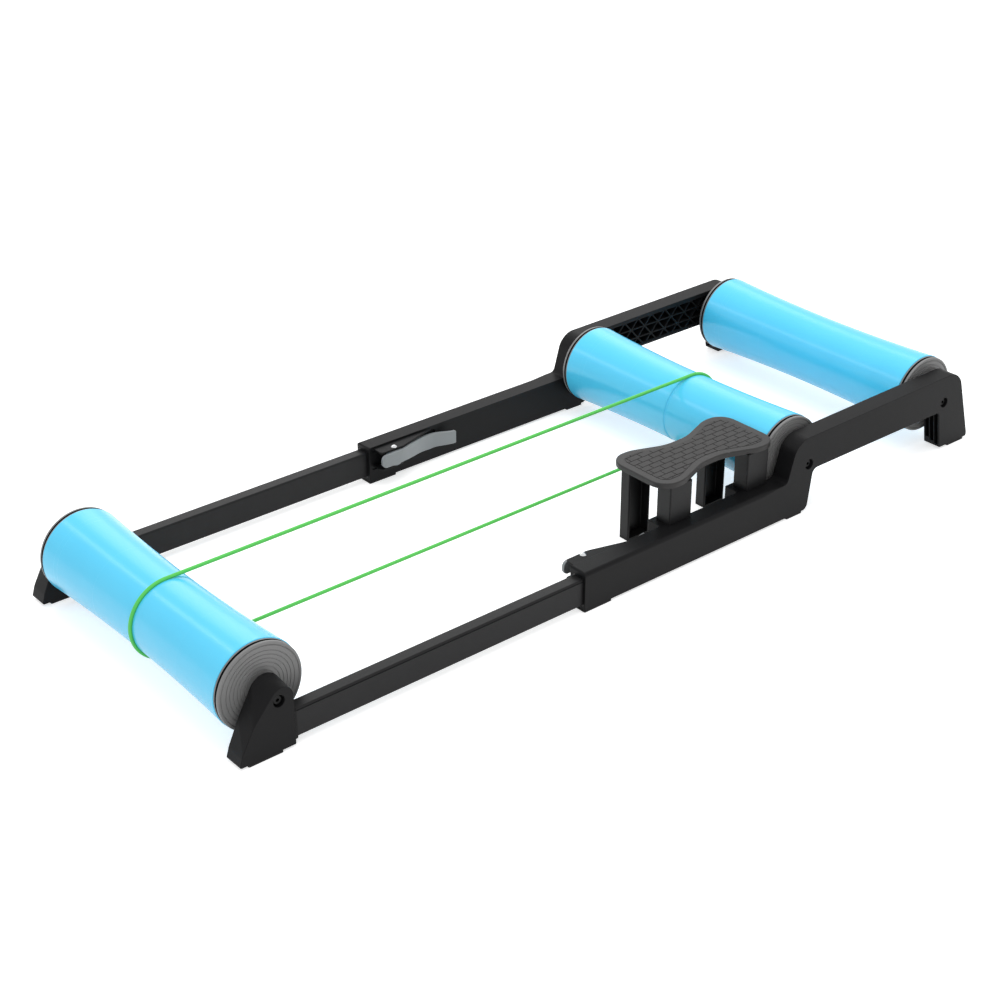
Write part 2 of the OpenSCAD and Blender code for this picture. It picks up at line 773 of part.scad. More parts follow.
module clamp_pad() color(rubber_black)
    slab(pin_y + cam_y + cam_r + slide_fit, tube_y - tube_w / 2 - slide_fit)
        polygon(rounded(box_corners([pin_x - window_w / 2 + slide_fit, window_z0 + slide_fit],
            [pin_x + window_w / 2 - slide_fit, window_z1 - slide_fit], 1)));

// Step

// A quarter of the plate's outline is a lobe's corner, the lobe's inner shoulder and the waist
function plate_corners() =
    let (quarter = [
            [step_len / 2, step_w / 2, 26],
            [step_len / 2 - lobe_len, step_w / 2, 40],
            [waist_len / 2, step_waist / 2, 60]],
         back = [for (i = [2:-1:0]) quarter[i]])
    [for (c = concat(
        quarter,
        [for (c = back) [-c.x, c.y, c.z]],
        [for (c = quarter) [-c.x, -c.y, c.z]],
        [for (c = back) [c.x, -c.y, c.z]]))
        [c.x + step_x, c.y + step_y, c.z]];

module step_plate() color(step_grey) left() difference() {
    level(plate_bottom, step_z) polygon(rounded(plate_corners()));
    level(step_z - tread_recess, step_z + 1) polygon(rounded(inset(plate_corners(), tread_border)));
    plate_screw_places() bar(step_screw_d / 2 + run_fit, plate_bottom - 1, plate_bottom + plate_screw_grip);
}

module bricks() {
    rows = ceil(step_w / brick_w / 2);
    columns = ceil(step_len / brick_len / 2);
    for (row = [-rows:rows], column = [-columns - 1:columns])
        translate([step_x + (column + (row % 2 == 0 ? 0 : 0.5)) * brick_len + brick_groove / 2,
            step_y + (row - 0.5) * brick_w + brick_groove / 2])
            square([brick_len - brick_groove, brick_w - brick_groove]);
}

module step_tread() color(step_grey) left() {
    outline = rounded(inset(plate_corners(), tread_border + slide_fit));
    level(step_z - tread_recess, step_z - tread_recess + tread_base) polygon(outline);
    level(step_z - tread_recess + tread_base - 0.1, step_z + tread_proud) intersection() {
        polygon(outline);
        bricks();
    }
}

// Children stand at the four screws that hold the plate on the two leg frames
module plate_screw_places() {
    for (x = [front_leg_x, rear_leg_x], side = [-1, 1])
        translate([x + leg_w / 2, step_y + side * plate_screw_y, 0]) children();
}

// Children lie at the two screws that hold the near legs to the rail
module socket_screw_places() {
    for (x = [front_leg_x, rear_leg_x]) on_axle(x + leg_w / 2, socket_screw_z) children();
}

module near_leg_section(x, y1) difference() {
    polygon(rounded(box_corners([x, leg_y0], [x + leg_w, y1], 2)));
    polygon(rounded(box_corners([x + leg_wall, leg_y0 + leg_wall],
        [x + leg_w - leg_wall, y1 - leg_wall], 1)));
}

// One frame: a closed near leg, a far leg that is open towards it, and a bar below the plate. Above
// the rail the near leg is deeper, and that part of it stands on the rail's top.
module leg_frame(x) color(tube_black) left() difference() {
    union() {
        level(pad_h, rail_top_z + 1) near_leg_section(x, leg_y1);
        level(rail_top_z, plate_bottom) near_leg_section(x, leg_y1 + leg_lap);
        level(pad_h, plate_bottom) difference() {
            polygon(rounded(box_corners([x, far_y0], [x + leg_w, far_y1], 2)));
            polygon(rounded(box_corners([x + leg_wall, far_y0 + leg_wall],
                [x + leg_w - leg_wall, far_y1 + 5], 1)));
        }
        level(bar_bottom, plate_bottom)
            polygon(rounded(box_corners([x, far_y0], [x + leg_w, leg_y1 + leg_lap], 2)));
    }
    plate_screw_places() bar(step_screw_d / 2 + run_fit, bar_bottom - 1, plate_bottom + 1);
    socket_screw_places() bar(step_screw_d / 2 + run_fit, leg_y0 - 1, leg_y1 + 1);
}

module step_front_legs() leg_frame(front_leg_x);
module step_rear_legs() leg_frame(rear_leg_x);

// Each socket laps the near leg's inner side and stands ahead of it
module step_sockets() color(frame_black) left() difference() {
    for (x = [front_leg_x, rear_leg_x])
        level(socket_z0, rail_top_z) difference() {
            polygon(rounded(box_corners([x - socket_lead, leg_y0 - socket_wall - slide_fit],
                [x + leg_w, inner_y], 2)));
            polygon(rounded(box_corners([x - slide_fit, leg_y0 - slide_fit],
                [x + leg_w + 5, inner_y + 5], 1)));
        }
    socket_screw_places() bar(step_screw_d / 2 + run_fit, 0, leg_y0);
}

module socket_screws() color(steel) left() socket_screw_places() {
    head = leg_y0 - socket_wall - slide_fit;
    bar(step_screw_d / 2, head - 1, socket_screw_end);
    bar(step_screw_d * 0.9, head - screw_head_h, head);
}

module plate_screws() color(steel) left() plate_screw_places() {
    bar(step_screw_d / 2, bar_bottom - 1, plate_bottom + plate_screw_grip - slide_fit);
    bar(step_screw_d * 0.9, bar_bottom - screw_head_h, bar_bottom);
}

module step_feet() color(rubber_black) left() level(0, pad_h)
    for (x = [front_leg_x, rear_leg_x]) {
        polygon(rounded(box_corners([x, leg_y0], [x + leg_w, leg_y1 - slide_fit], 2)));
        polygon(rounded(box_corners([x, far_y0], [x + leg_w, far_y1], 2)));
    }

// Belt

module half_loop(from) rotate([-90, 0, 0]) rotate([0, 0, from])
    rotate_extrude(angle = 180) translate([belt_path_r, 0]) circle(belt_d / 2);

module drive_belt() color(belt_green) {
    rise = middle_axle_z - front_axle_z;
    run = norm([front_span, rise]);
    translate([front_x, -belt_off, front_axle_z]) rotate([0, -atan2(rise, front_span), 0]) {
        half_loop(90);
        translate([run, 0, 0]) half_loop(-90);
        for (side = [-1, 1]) translate([0, 0, side * belt_path_r])
            rotate([0, 90, 0]) cylinder(d = belt_d, h = run);
    }
}

on_front() roller_sleeve(true);  // front_sleeve
left() on_front() roller_cap();  // front_left_cap
on_front() roller_cap();  // front_right_cap
on_front() outer_rings();  // front_outer_rings
on_front() balls();  // front_balls
on_front() inner_rings();  // front_inner_rings
on_front() axle();  // front_axle
on_front() spacers();  // front_spacers
on_front() washers();  // front_washers
on_front() bolts();  // front_bolts
on_middle() roller_sleeve(true);  // middle_sleeve
left() on_middle() roller_cap();  // middle_left_cap
on_middle() roller_cap();  // middle_right_cap
on_middle() outer_rings();  // middle_outer_rings
on_middle() balls();  // middle_balls
on_middle() inner_rings();  // middle_inner_rings
on_middle() axle();  // middle_axle
on_middle() spacers();  // middle_spacers
on_middle() washers();  // middle_washers
on_middle() bolts();  // middle_bolts
on_rear() roller_sleeve(false);  // rear_sleeve
left() on_rear() roller_cap();  // rear_left_cap
on_rear() roller_cap();  // rear_right_cap
on_rear() outer_rings();  // rear_outer_rings
on_rear() balls();  // rear_balls
on_rear() inner_rings();  // rear_inner_rings
on_rear() axle();  // rear_axle
on_rear() spacers();  // rear_spacers
on_rear() washers();  // rear_washers
on_rear() bolts();  // rear_bolts
left_side_frame();
side_frame();  // right_side_frame
mouth_liners();
left() front_bracket();  // left_front_bracket
front_bracket();  // right_front_bracket
left() slide_tube();  // left_slide_tube
slide_tube();  // right_slide_tube
tube_end_plugs();
bracket_screws();
left() cam_lever();  // left_cam_lever
cam_lever();  // right_cam_lever
cam_pins();
left() clamp_pad();  // left_clamp_pad
clamp_pad();  // right_clamp_pad
front_feet();
mouth_feet();
middle_feet();
rear_feet();
step_plate();
step_tread();
step_front_legs();
step_rear_legs();
step_sockets();
socket_screws();
plate_screws();
step_feet();
drive_belt();
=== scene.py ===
import math
import bmesh
import bpy
from mathutils import Matrix, Vector


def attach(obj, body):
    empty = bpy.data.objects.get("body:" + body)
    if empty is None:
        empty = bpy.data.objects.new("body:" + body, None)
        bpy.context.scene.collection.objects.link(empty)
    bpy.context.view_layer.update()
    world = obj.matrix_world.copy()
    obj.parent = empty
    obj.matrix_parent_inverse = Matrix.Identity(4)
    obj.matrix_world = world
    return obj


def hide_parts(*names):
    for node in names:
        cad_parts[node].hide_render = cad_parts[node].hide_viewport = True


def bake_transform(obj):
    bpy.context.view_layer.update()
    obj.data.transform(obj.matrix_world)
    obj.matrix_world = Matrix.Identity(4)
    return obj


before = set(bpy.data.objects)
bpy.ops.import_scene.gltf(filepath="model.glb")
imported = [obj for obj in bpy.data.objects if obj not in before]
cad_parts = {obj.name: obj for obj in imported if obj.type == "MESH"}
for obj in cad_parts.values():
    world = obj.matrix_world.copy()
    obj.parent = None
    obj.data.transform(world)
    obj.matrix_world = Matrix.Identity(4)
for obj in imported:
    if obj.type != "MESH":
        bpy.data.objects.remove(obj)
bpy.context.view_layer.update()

# Camera
# It stands ahead of the rollers on the rider's left, at shoulder height, with a longish lens, and
# its shift is the crop of the photograph. The image is square, 985 x 985.
camera_place = (-1.52455, -1.7417, 1.2762)
camera_azimuth, camera_elevation, camera_roll = (math.radians(v) for v in (-40.476, 28.092, 0.143))
camera_data = bpy.data.cameras.new("camera")
camera_data.lens = 69.33
camera_data.sensor_width = 36.0
camera_data.shift_x, camera_data.shift_y = -0.0223, -0.0069
camera = bpy.data.objects.new("camera", camera_data)
camera.matrix_world = (
    Matrix.Translation(camera_place)
    @ Matrix.Rotation(camera_azimuth, 4, "Z")
    @ Matrix.Rotation(math.pi / 2 - camera_elevation, 4, "X")
    @ Matrix.Rotation(camera_roll, 4, "Z"))
bpy.context.scene.collection.objects.link(camera)
bpy.context.scene.camera = camera
bpy.context.scene.view_settings.view_transform = "Standard"


# Studio
# A matt white floor in a white room. Camera, gloss and glass rays see plain white there, while the
# object is lit by the room, a wide top lamp, one behind, a weak front fill and a small one.

def linear(hex_colour):
    """An sRGB hex colour as the linear RGBA that a socket takes."""
    parts = [int(hex_colour[i:i + 2], 16) / 255 for i in (1, 3, 5)]
    return [v / 12.92 if v <= 0.04045 else ((v + 0.055) / 1.055) ** 2.4 for v in parts] + [1.0]


def add(tree, kind, inputs=None, **settings):
    """Adds a node with its settings; each input is a value or the output that feeds it."""
    node = tree.nodes.new(kind)
    for name, value in settings.items():
        setattr(node, name, value)
    for name, value in (inputs or {}).items():
        if isinstance(value, bpy.types.NodeSocket):
            tree.links.new(value, node.inputs[name])
        else:
            node.inputs[name].default_value = value
    return node


def emptied(owner):
    """The node tree of a world or a material, emptied."""
    owner.use_nodes = True
    owner.node_tree.nodes.clear()
    return owner.node_tree


def seen_white(tree):
    """1 for the rays that should see plain white: the camera's, and those of gloss and glass."""
    path = add(tree, "ShaderNodeLightPath")
    gloss = add(tree, "ShaderNodeMath", {0: path.outputs["Is Camera Ray"],
                                         1: path.outputs["Is Glossy Ray"]}, operation="MAXIMUM")
    return add(tree, "ShaderNodeMath", {0: gloss.outputs[0],
                                        1: path.outputs["Is Transmission Ray"]},
               operation="MAXIMUM").outputs[0]


room_light, floor_glow = 0.68, 0.62
white, black, floor_colour = (1, 1, 1, 1), (0, 0, 0, 1), (0.8, 0.8, 0.8, 1)
floor_size = 30.0
world = bpy.data.worlds.new("white_room")
bpy.context.scene.world = world
tree = emptied(world)
lit = add(tree, "ShaderNodeBackground", {"Color": white, "Strength": room_light})
seen = add(tree, "ShaderNodeBackground", {"Color": white, "Strength": 1.0})
mixed = add(tree, "ShaderNodeMixShader", {0: seen_white(tree), 1: lit.outputs[0],
                                          2: seen.outputs[0]})
add(tree, "ShaderNodeOutputWorld", {"Surface": mixed.outputs[0]})

floor_paint = bpy.data.materials.new("matt_white_floor")
tree = emptied(floor_paint)
paint = add(tree, "ShaderNodeBsdfDiffuse", {"Color": floor_colour})
glow = add(tree, "ShaderNodeEmission", {"Color": white, "Strength": floor_glow})
none = add(tree, "ShaderNodeEmission", {"Color": black, "Strength": 0.0})
extra = add(tree, "ShaderNodeMixShader", {0: seen_white(tree), 1: none.outputs[0],
                                          2: glow.outputs[0]})
both = add(tree, "ShaderNodeAddShader", {0: paint.outputs[0], 1: extra.outputs[0]})
add(tree, "ShaderNodeOutputMaterial", {"Surface": both.outputs[0]})
bpy.ops.mesh.primitive_plane_add(size=floor_size, location=(0, 0, 0))
floor = bpy.context.object
floor.name = "studio_floor"
floor.data.materials.append(floor_paint)


def studio_lamp(name, place, target, size, power):
    """A soft rectangular lamp, width by height in metres, turned to its target."""
    lamp_data = bpy.data.lights.new(name, "AREA")
    lamp_data.shape = "RECTANGLE"
    lamp_data.size, lamp_data.size_y = size
    lamp_data.energy = power
    lamp = bpy.data.objects.new(name, lamp_data)
    lamp.location = place
    lamp.rotation_euler = (Vector(target) - Vector(place)).to_track_quat("-Z", "Y").to_euler()
    bpy.context.scene.collection.objects.link(lamp)
    return lamp


# The big lamps only light what is matt, but for the one behind, which gives level tops their
# sheen. The small one draws the thin streak along each roller.
studio_lamp("top_light", (0.5, 0.3, 2.8), (0, 0, 0), (3.0, 3.0), 46.0).visible_glossy = False
studio_lamp("back_sheen", (1.3, 2.4, 1.7), (0, 0, 0.1), (2.6, 1.3), 14.0)
studio_lamp("front_fill", (-2.4, -1.6, 1.4), (0, 0, 0.1), (1.6, 1.2), 8.0).visible_glossy = False
studio_lamp("streak_lamp", (-0.87, 1.33, 1.33), (0, 0, 0.1), (0.2, 0.2), 0.7)


# Roller sleeves
# Each sleeve is a rigid PVC tube that is turned to a waist and polished. The front and the middle
# one have a shallow groove for the belt, and the caps' spigots are glued into both ends.

MM = 0.001
front_x, middle_x, rear_x = -588.15, 288.85, 581.85
front_z, middle_z, rear_z = 70.0, 73.5, 77.0
axles = {"front": (front_x, front_z), "middle": (middle_x, middle_z), "rear": (rear_x, rear_z)}
sleeve_half, sleeve_edge = 196.0, 0.7
sleeve_end_r, sleeve_waist_r, sleeve_wall = 57.7, 52.0, 3.0
spigot_len = 16.0
belt_y, belt_r, belt_path_r = -10.0, 2.5, 53.315
groove_r, groove_reach, groove_lead = 2.8, 2.45, 0.9


def select_only(piece):
    bpy.ops.object.select_all(action="DESELECT")
    bpy.context.view_layer.objects.active = piece
    piece.select_set(True)


def edit(piece):
    select_only(piece)
    bpy.ops.object.mode_set(mode="EDIT")


def leave():
    bpy.ops.object.mode_set(mode="OBJECT")


def pick(kind, test):
    """Selects the verts, edges or faces of the mesh in edit mode that pass the test."""
    bpy.ops.mesh.select_mode(type={"verts": "VERT", "edges": "EDGE", "faces": "FACE"}[kind])
    bpy.ops.mesh.select_all(action="DESELECT")
    mesh = bmesh.from_edit_mesh(bpy.context.object.data)
    for part in getattr(mesh, kind):
        if test(part):
            part.select_set(True)
    mesh.select_flush_mode()
    bmesh.update_edit_mesh(bpy.context.object.data)


def draw_line(name, points, closed=True):
    """A new piece in edit mode: one line through points in metres, drawn by extruding a vertex."""
    bpy.ops.object.select_all(action="DESELECT")
    bpy.ops.mesh.primitive_plane_add(size=MM, location=points[0])
    piece = bpy.context.object
    piece.name = name
    bpy.ops.object.transform_apply(location=True, rotation=True, scale=True)
    bpy.ops.object.mode_set(mode="EDIT")
    bpy.ops.mesh.select_mode(type="VERT")
    bpy.ops.mesh.select_all(action="SELECT")
    bpy.ops.mesh.merge(type="CENTER")
    for here, there in zip(points, points[1:]):
        bpy.ops.mesh.extrude_vertices_move(TRANSFORM_OT_translate={"value": there - here})
    if closed:
        first, last = points[0], points[-1]
        pick("verts", lambda v: (v.co - first).length < 1e-6 or (v.co - last).length < 1e-6)
        bpy.ops.mesh.edge_face_add()
    return piece


def clean_shell():
    """Merges doubles of the mesh in edit mode and points its faces outwards."""
    bpy.ops.mesh.select_all(action="SELECT")
    bpy.ops.mesh.remove_doubles(threshold=2e-6)
    bpy.ops.mesh.normals_make_consistent(inside=False)


def turn(name, profile, axle, steps=128):
    """A turned piece: a closed profile of (radius, y) in mm, spun about an axle at (x, z)."""
    x, z = axle
    piece = draw_line(name, [Vector((x + r, y, z)) * MM for r, y in profile])
    bpy.ops.mesh.select_all(action="SELECT")
    bpy.ops.mesh.spin(steps=steps, angle=2 * math.pi, center=(x * MM, 0, z * MM), axis=(0, 1, 0))
    clean_shell()
    leave()
    return piece


def smooth_piece(piece, angle=35.0):
    """Shades a piece smooth, but for edges that turn by more than the angle."""
    select_only(piece)
    bpy.ops.object.shade_smooth_by_angle(angle=math.radians(angle))


def sleeve_r(y):
    return sleeve_waist_r + (sleeve_end_r - sleeve_waist_r) * (y / sleeve_half) ** 2


def sleeve_profile(grooved):
    """The sleeve's wall: outside from left to right, then the bore back."""
    stations = [sleeve_half * i / 24 for i in range(-24, 25)]
    stations[0] += sleeve_edge
    stations[-1] -= sleeve_edge
    outside = [(sleeve_r(y), y) for y in stations]
    if grooved:
        outside = [p for p in outside if abs(p[1] - belt_y) > groove_reach + 1.5]
        for i in range(-5, 6):
            y = belt_y + groove_reach * i / 5
            sink = belt_path_r - math.sqrt(groove_r ** 2 - (y - belt_y) ** 2)
            outside.append((min(sleeve_r(y), sink), y))
        for y in (belt_y - groove_reach - groove_lead, belt_y + groove_reach + groove_lead):
            outside.append((sleeve_r(y), y))
        outside.sort(key=lambda p: p[1])
    seat = sleeve_end_r - sleeve_wall
    seat_y = sleeve_half - spigot_len
    left_face = [(seat, -sleeve_half), (sleeve_end_r - sleeve_edge, -sleeve_half)]
    right_face = [(sleeve_end_r - sleeve_edge, sleeve_half), (seat, sleeve_half), (seat, seat_y)]
    bore = [(sleeve_r(y) - sleeve_wall, y) for y in
            [seat_y * i / 12 for i in range(12, -13, -1)]]
    return left_face + outside + right_face + bore + [(seat, -seat_y)]


def grain(tree, place, size, detail):
    """Noise whose grains are about size metres across."""
    return add(tree, "ShaderNodeTexNoise", {"Vector": place, "Scale": 1 / size, "Detail": detail})


def skin(tree, flow, colours, fine, roughness, relief, levels, fine_range=(0.3, 0.7)):
    """A material's surface. The flow noise mixes two close colours, and the fine noise, over its
    range, sets the roughness and a relief of (strength, depth in metres), if there is one."""
    tint = add(tree, "ShaderNodeMix", {0: flow.outputs["Fac"], 6: linear(colours[0]),
                                       7: linear(colours[1])}, data_type="RGBA")
    sheen = add(tree, "ShaderNodeMapRange", {
        "Value": fine.outputs["Fac"], "From Min": fine_range[0], "From Max": fine_range[1],
        "To Min": roughness[0], "To Max": roughness[1]})
    inputs = {"Base Color": tint.outputs[2], "Roughness": sheen.outputs[0], **levels}
    if relief:
        bump = add(tree, "ShaderNodeBump", {"Height": fine.outputs["Fac"], "Strength": relief[0],
                                            "Distance": relief[1]})
        inputs["Normal"] = bump.outputs[0]
    surface = add(tree, "ShaderNodeBsdfPrincipled", inputs)
    add(tree, "ShaderNodeOutputMaterial", {"Surface": surface.outputs[0]})


# Turned and polished PVC: an even colour, a clear gloss and very faint lathe rings. The rings are
# 0.4 mm apart on the real sleeve and drawn 1.6 mm apart, so that they show.
sleeve_pvc = bpy.data.materials.new("polished_blue_pvc")
tree = emptied(sleeve_pvc)
place = add(tree, "ShaderNodeTexCoord").outputs["Object"]
along = add(tree, "ShaderNodeSeparateXYZ", {0: place}).outputs["Y"]
ring_place = add(tree, "ShaderNodeCombineXYZ", {1: along}).outputs[0]
skin(tree, grain(tree, place, 0.09, 3.0), ("#4FD0FB", "#59D6FE"),
     grain(tree, ring_place, 0.0016, 2.0), (0.2, 0.28), (0.06, 0.0001), {"IOR": 1.54})

for side, axle in axles.items():
    sleeve = turn(side + "_roller_sleeve", sleeve_profile(side != "rear"), axle)
    smooth_piece(sleeve)
    sleeve.data.materials.append(sleeve_pvc)
    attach(sleeve, side + "_roller")
    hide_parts(side + "_sleeve")


# Roller caps
# Each cap is an injection-moulded disc of grey ABS with a spigot for the sleeve, a dark groove
# round its rim and fine rings in its face. The bearing's outer ring is pressed into its hub.

cap_face_y = 205.0
cap_rim_r = 56.8
band_start, band_end = sleeve_half + 2.1, sleeve_half + 5.4
bearing_y0 = 195.5
bearing_bore_r = 13.05


def cap_profile():
    """The cap at the right end, from its hub's mouth out over the rim and back inside."""
    spigot_r = sleeve_end_r - sleeve_wall - 0.05
    spigot_y = sleeve_half - spigot_len
    profile = [(bearing_bore_r, bearing_y0), (bearing_bore_r, cap_face_y - 0.5),
               (bearing_bore_r + 0.5, cap_face_y)]
    hub_r, cap_wall, lip_r = 16.05, 3, cap_rim_r - 4.6
    ring_depth, lip_depth, rim_round, edge = 0.7, 1.0, 1.6, 0.3
    ring_pitch = (cap_rim_r - 6.0 - hub_r) / 7
    for i in range(1, 7):
        r = hub_r + ring_pitch * i
        profile += [(r - 0.45, cap_face_y), (r - 0.2, cap_face_y - ring_depth),
                    (r + 0.5, cap_face_y - ring_depth), (r + 0.8, cap_face_y)]
    profile += [(lip_r - 0.6, cap_face_y), (lip_r, cap_face_y - lip_depth),
                (lip_r + 0.7, cap_face_y - lip_depth), (lip_r + 1.2, cap_face_y)]
    for i in range(7):
        a = math.radians(15 * i)
        profile.append((cap_rim_r - rim_round + rim_round * math.sin(a),
                        cap_face_y - rim_round + rim_round * math.cos(a)))
    floor_r, inside_y = cap_rim_r - 2.2, cap_face_y - cap_wall
    profile += [(cap_rim_r, band_end + edge), (cap_rim_r - edge, band_end), (floor_r, band_end),
                (floor_r, band_start), (cap_rim_r - edge, band_start),
                (cap_rim_r, band_start - edge), (cap_rim_r, sleeve_half + edge),
                (cap_rim_r - edge, sleeve_half), (spigot_r, sleeve_half), (spigot_r, spigot_y),
                (spigot_r - cap_wall, spigot_y), (spigot_r - cap_wall, inside_y),
                (hub_r, inside_y), (hub_r, bearing_y0 - cap_wall),
                (bearing_bore_r - 2, bearing_y0 - cap_wall), (bearing_bore_r - 2, bearing_y0)]
    return profile


def moulded(name, colour, lit_colour, roughness, pit_size, depth, gloss_level=0.5):
    """A moulded plastic or rubber: its two close colours, roughness range, its spark-eroded
    grain's size and depth in metres, and how much its skin reflects (0.5 is plain plastic)."""
    material = bpy.data.materials.new(name)
    tree = emptied(material)
    place = add(tree, "ShaderNodeTexCoord").outputs["Object"]
    skin(tree, grain(tree, place, 0.06, 4.0), (colour, lit_colour),
         grain(tree, place, pit_size, 2.0), roughness, (0.5, depth),
         {"IOR": 1.5, "Specular IOR Level": gloss_level})
    return material


# Moulded ABS, mid grey, from a finely eroded tool: a soft broad sheen, no mirror. The groove at the
# sleeve's end gets a near-black matt material. This is painted shade, standing in for the groove's
# shade, and it reads as a dark ring.
cap_abs = moulded("moulded_grey_abs", "#7A7A7A", "#828282", (0.36, 0.46), 0.0006, 0.00004)
painted_groove_shade = moulded("painted_shade_black", "#0B0B0C", "#101011", (0.6, 0.7), 0.0006, 0.00002, 0.2)

for side, axle in axles.items():
    for hand, sign in (("right", 1), ("left", -1)):
        cap = turn("%s_roller_%s_cap" % (side, hand),
                   [(r, sign * y) for r, y in cap_profile()], axle)
        smooth_piece(cap)
        cap.data.materials.append(cap_abs)
        cap.data.materials.append(painted_groove_shade)
        # Painted shade: the faces in the groove at the sleeve's end take the near-black second
        # material
        for face in cap.data.polygons:
            across = abs(face.center.y) / MM
            out = math.hypot(face.center.x / MM - axle[0], face.center.z / MM - axle[1])
            if sleeve_half < across < band_end + 0.2 and cap_rim_r - 2.5 < out < cap_rim_r - 0.2:
                face.material_index = 1
        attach(cap, side + "_roller")
        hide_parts("%s_%s_cap" % (side, hand))


# Bearings, axles, spacers and bolts
# Standard ball bearings run on shouldered steel axles. A spacer stands between each bearing and the
# frame, and a black bolt with a washer pulls the axle tight in the frame's recess.

# Zinc-plated and ground steel: a metal with fine round grinding marks and a slight blue cast.
plain_steel = bpy.data.materials.new("zinc_plated_steel")
tree = emptied(plain_steel)
place = add(tree, "ShaderNodeTexCoord").outputs["Object"]
stretch = add(tree, "ShaderNodeMapping", {"Vector": place, "Scale": (1.0, 0.15, 1.0)})
scratches = grain(tree, stretch.outputs[0], 0.0008, 3.0)
skin(tree, scratches, ("#AEB3B8", "#C3C7CA"), scratches, (0.24, 0.42), (0.2, 0.00003),
     {"Metallic": 1.0}, (0.0, 1.0))


def finish_node(node, material):
    """Gives a CAD node that keeps its shape its real material."""
    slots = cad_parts[node].data.materials
    slots.clear()
    slots.append(material)


# Black oxide on steel, for the bolts and washers in the frame's recesses: dark and half matt.
black_oxide = moulded("black_oxide_steel", "#090909", "#0F0F10", (0.3, 0.42), 0.0008, 0.00002, 0.16)
for side in axles:
    for kind in ("outer_rings", "balls", "inner_rings", "axle", "spacers"):
        finish_node("%s_%s" % (side, kind), plain_steel)
    for kind in ("washers", "bolts"):
        finish_node("%s_%s" % (side, kind), black_oxide)


# Side frames
# Each is one glass-filled nylon moulding: a low hollow rail that takes the slide tube, a raised
# beam with crossed ribs inside, and a slotted rear leg. Two ears on its inner face hold the clamp.

inner_y, outer_y, frame_wall = 213.4, 242.0, 3.0
mouth_x = -127.15
rail_top, crown_h, beam_bottom, pad_h = 57.0, 42.0, 63.5, 3.0
heel_reach = 64.0
shoulder_x = middle_x - 43
leg_rear_x, leg_lean = middle_x + 1.5, 8.0
heel_front_x = rear_x + 1
tube_y, tube_w, tube_h, tube_z, tube_r = 228.9, 18.6, 38.4, 9.0, 2.5
channel_play, liner_play, liner_len, slide_fit = 0.8, 1.6, 20.0, 0.3
pin_x, pin_y, pin_r, pin_fit = -93.15, 200.0, 3.0, 0.05
ear_z, ear_gap, ear_t = 28.0, 23.2, 3.0
ear_top = ear_z + ear_gap
window_w, window_z = 22.0, (31.0, 49.0)
axle_seat_r, seat_end, recess_y, recess_r, bolt_hole_r = 5.05, 228.0, 231.0, 7.5, 3.3
pocket_rim, rib_t = 4.5, 2.0


def spot(axis, a, b, depth):
    """A point in metres from an outline's two values and its depth along the axis, in mm."""
    return Vector({"X": (depth, a, b), "Y": (a, depth, b), "Z": (a, b, depth)}[axis]) * MM


def block(name, axis, corners, start, stop, step_angle=9.0):
    """A block: an outline of corners (a, b, radius) in mm, drawn square to the axis, filled, its
    corners rounded with a vertex bevel, and extruded from start to stop."""
    points = [spot(axis, a, b, start) for a, b, _ in corners]
    piece = draw_line(name, points, closed=False)
    bpy.ops.mesh.select_all(action="SELECT")
    bpy.ops.mesh.edge_face_add()
    for i, (_, _, radius) in enumerate(corners):
        if radius:
            here = points[i]
            before, after = points[i - 1] - here, points[(i + 1) % len(points)] - here
            inside = before.angle(after)
            pick("verts", lambda v: (v.co - here).length < 1e-6)
            bpy.ops.mesh.bevel(affect="VERTICES", offset_type="OFFSET",
                               offset=radius * MM / math.tan(inside / 2),
                               segments=max(2, round((180 - math.degrees(inside)) / step_angle)))
    bpy.ops.mesh.select_mode(type="FACE")
    bpy.ops.mesh.select_all(action="SELECT")
    bpy.ops.mesh.extrude_region_move(
        TRANSFORM_OT_translate={"value": spot(axis, 0, 0, stop) - spot(axis, 0, 0, start)})
    clean_shell()
    leave()
    return piece


def box_corners(a0, a1, b0, b1, radius):
    return [(a0, b0, radius), (a1, b0, radius), (a1, b1, radius), (a0, b1, radius)]


def tube_section(grow):
    """The slide tube's section, larger all round by grow."""
    half = tube_w / 2 + grow
    return box_corners(tube_y - half, tube_y + half, tube_z - grow, tube_z + tube_h + grow,
                       tube_r + grow)


def apply_modifiers(piece):
    select_only(piece)
    for modifier in list(piece.modifiers):
        bpy.ops.object.modifier_apply(modifier=modifier.name)


def combine(piece, operation, *tools):
    """Cuts, joins or intersects a piece with each tool, and deletes the tools."""
    for tool in tools:
        modifier = piece.modifiers.new("combine", "BOOLEAN")
        modifier.operation, modifier.object, modifier.solver = operation, tool, "EXACT"
        apply_modifiers(piece)
        bpy.data.objects.remove(tool)
    return piece


def rod(name, radius, x, z, y0, y1, steps=48):
    """A round bar along Y in mm, which only cuts or joins other pieces."""
    bpy.ops.object.select_all(action="DESELECT")
    bpy.ops.mesh.primitive_cylinder_add(
        vertices=steps, radius=radius * MM, depth=(y1 - y0) * MM,
        location=(x * MM, (y0 + y1) / 2 * MM, z * MM), rotation=(math.pi / 2, 0, 0))
    piece = bpy.context.object
    piece.name = name
    bpy.ops.object.transform_apply(location=True, rotation=True, scale=True)
    return piece


def soften(piece, width, segments=2, angle=28.0):
    """Rounds every edge that turns by more than the angle, as the mould's own edges are."""
    modifier = piece.modifiers.new("edges", "BEVEL")
    modifier.width, modifier.segments = width * MM, segments
    modifier.limit_method, modifier.angle_limit = "ANGLE", math.radians(angle)
    modifier.use_clamp_overlap, modifier.miter_outer = False, "MITER_ARC"
    apply_modifiers(piece)
    edit(piece)
    clean_shell()
    leave()


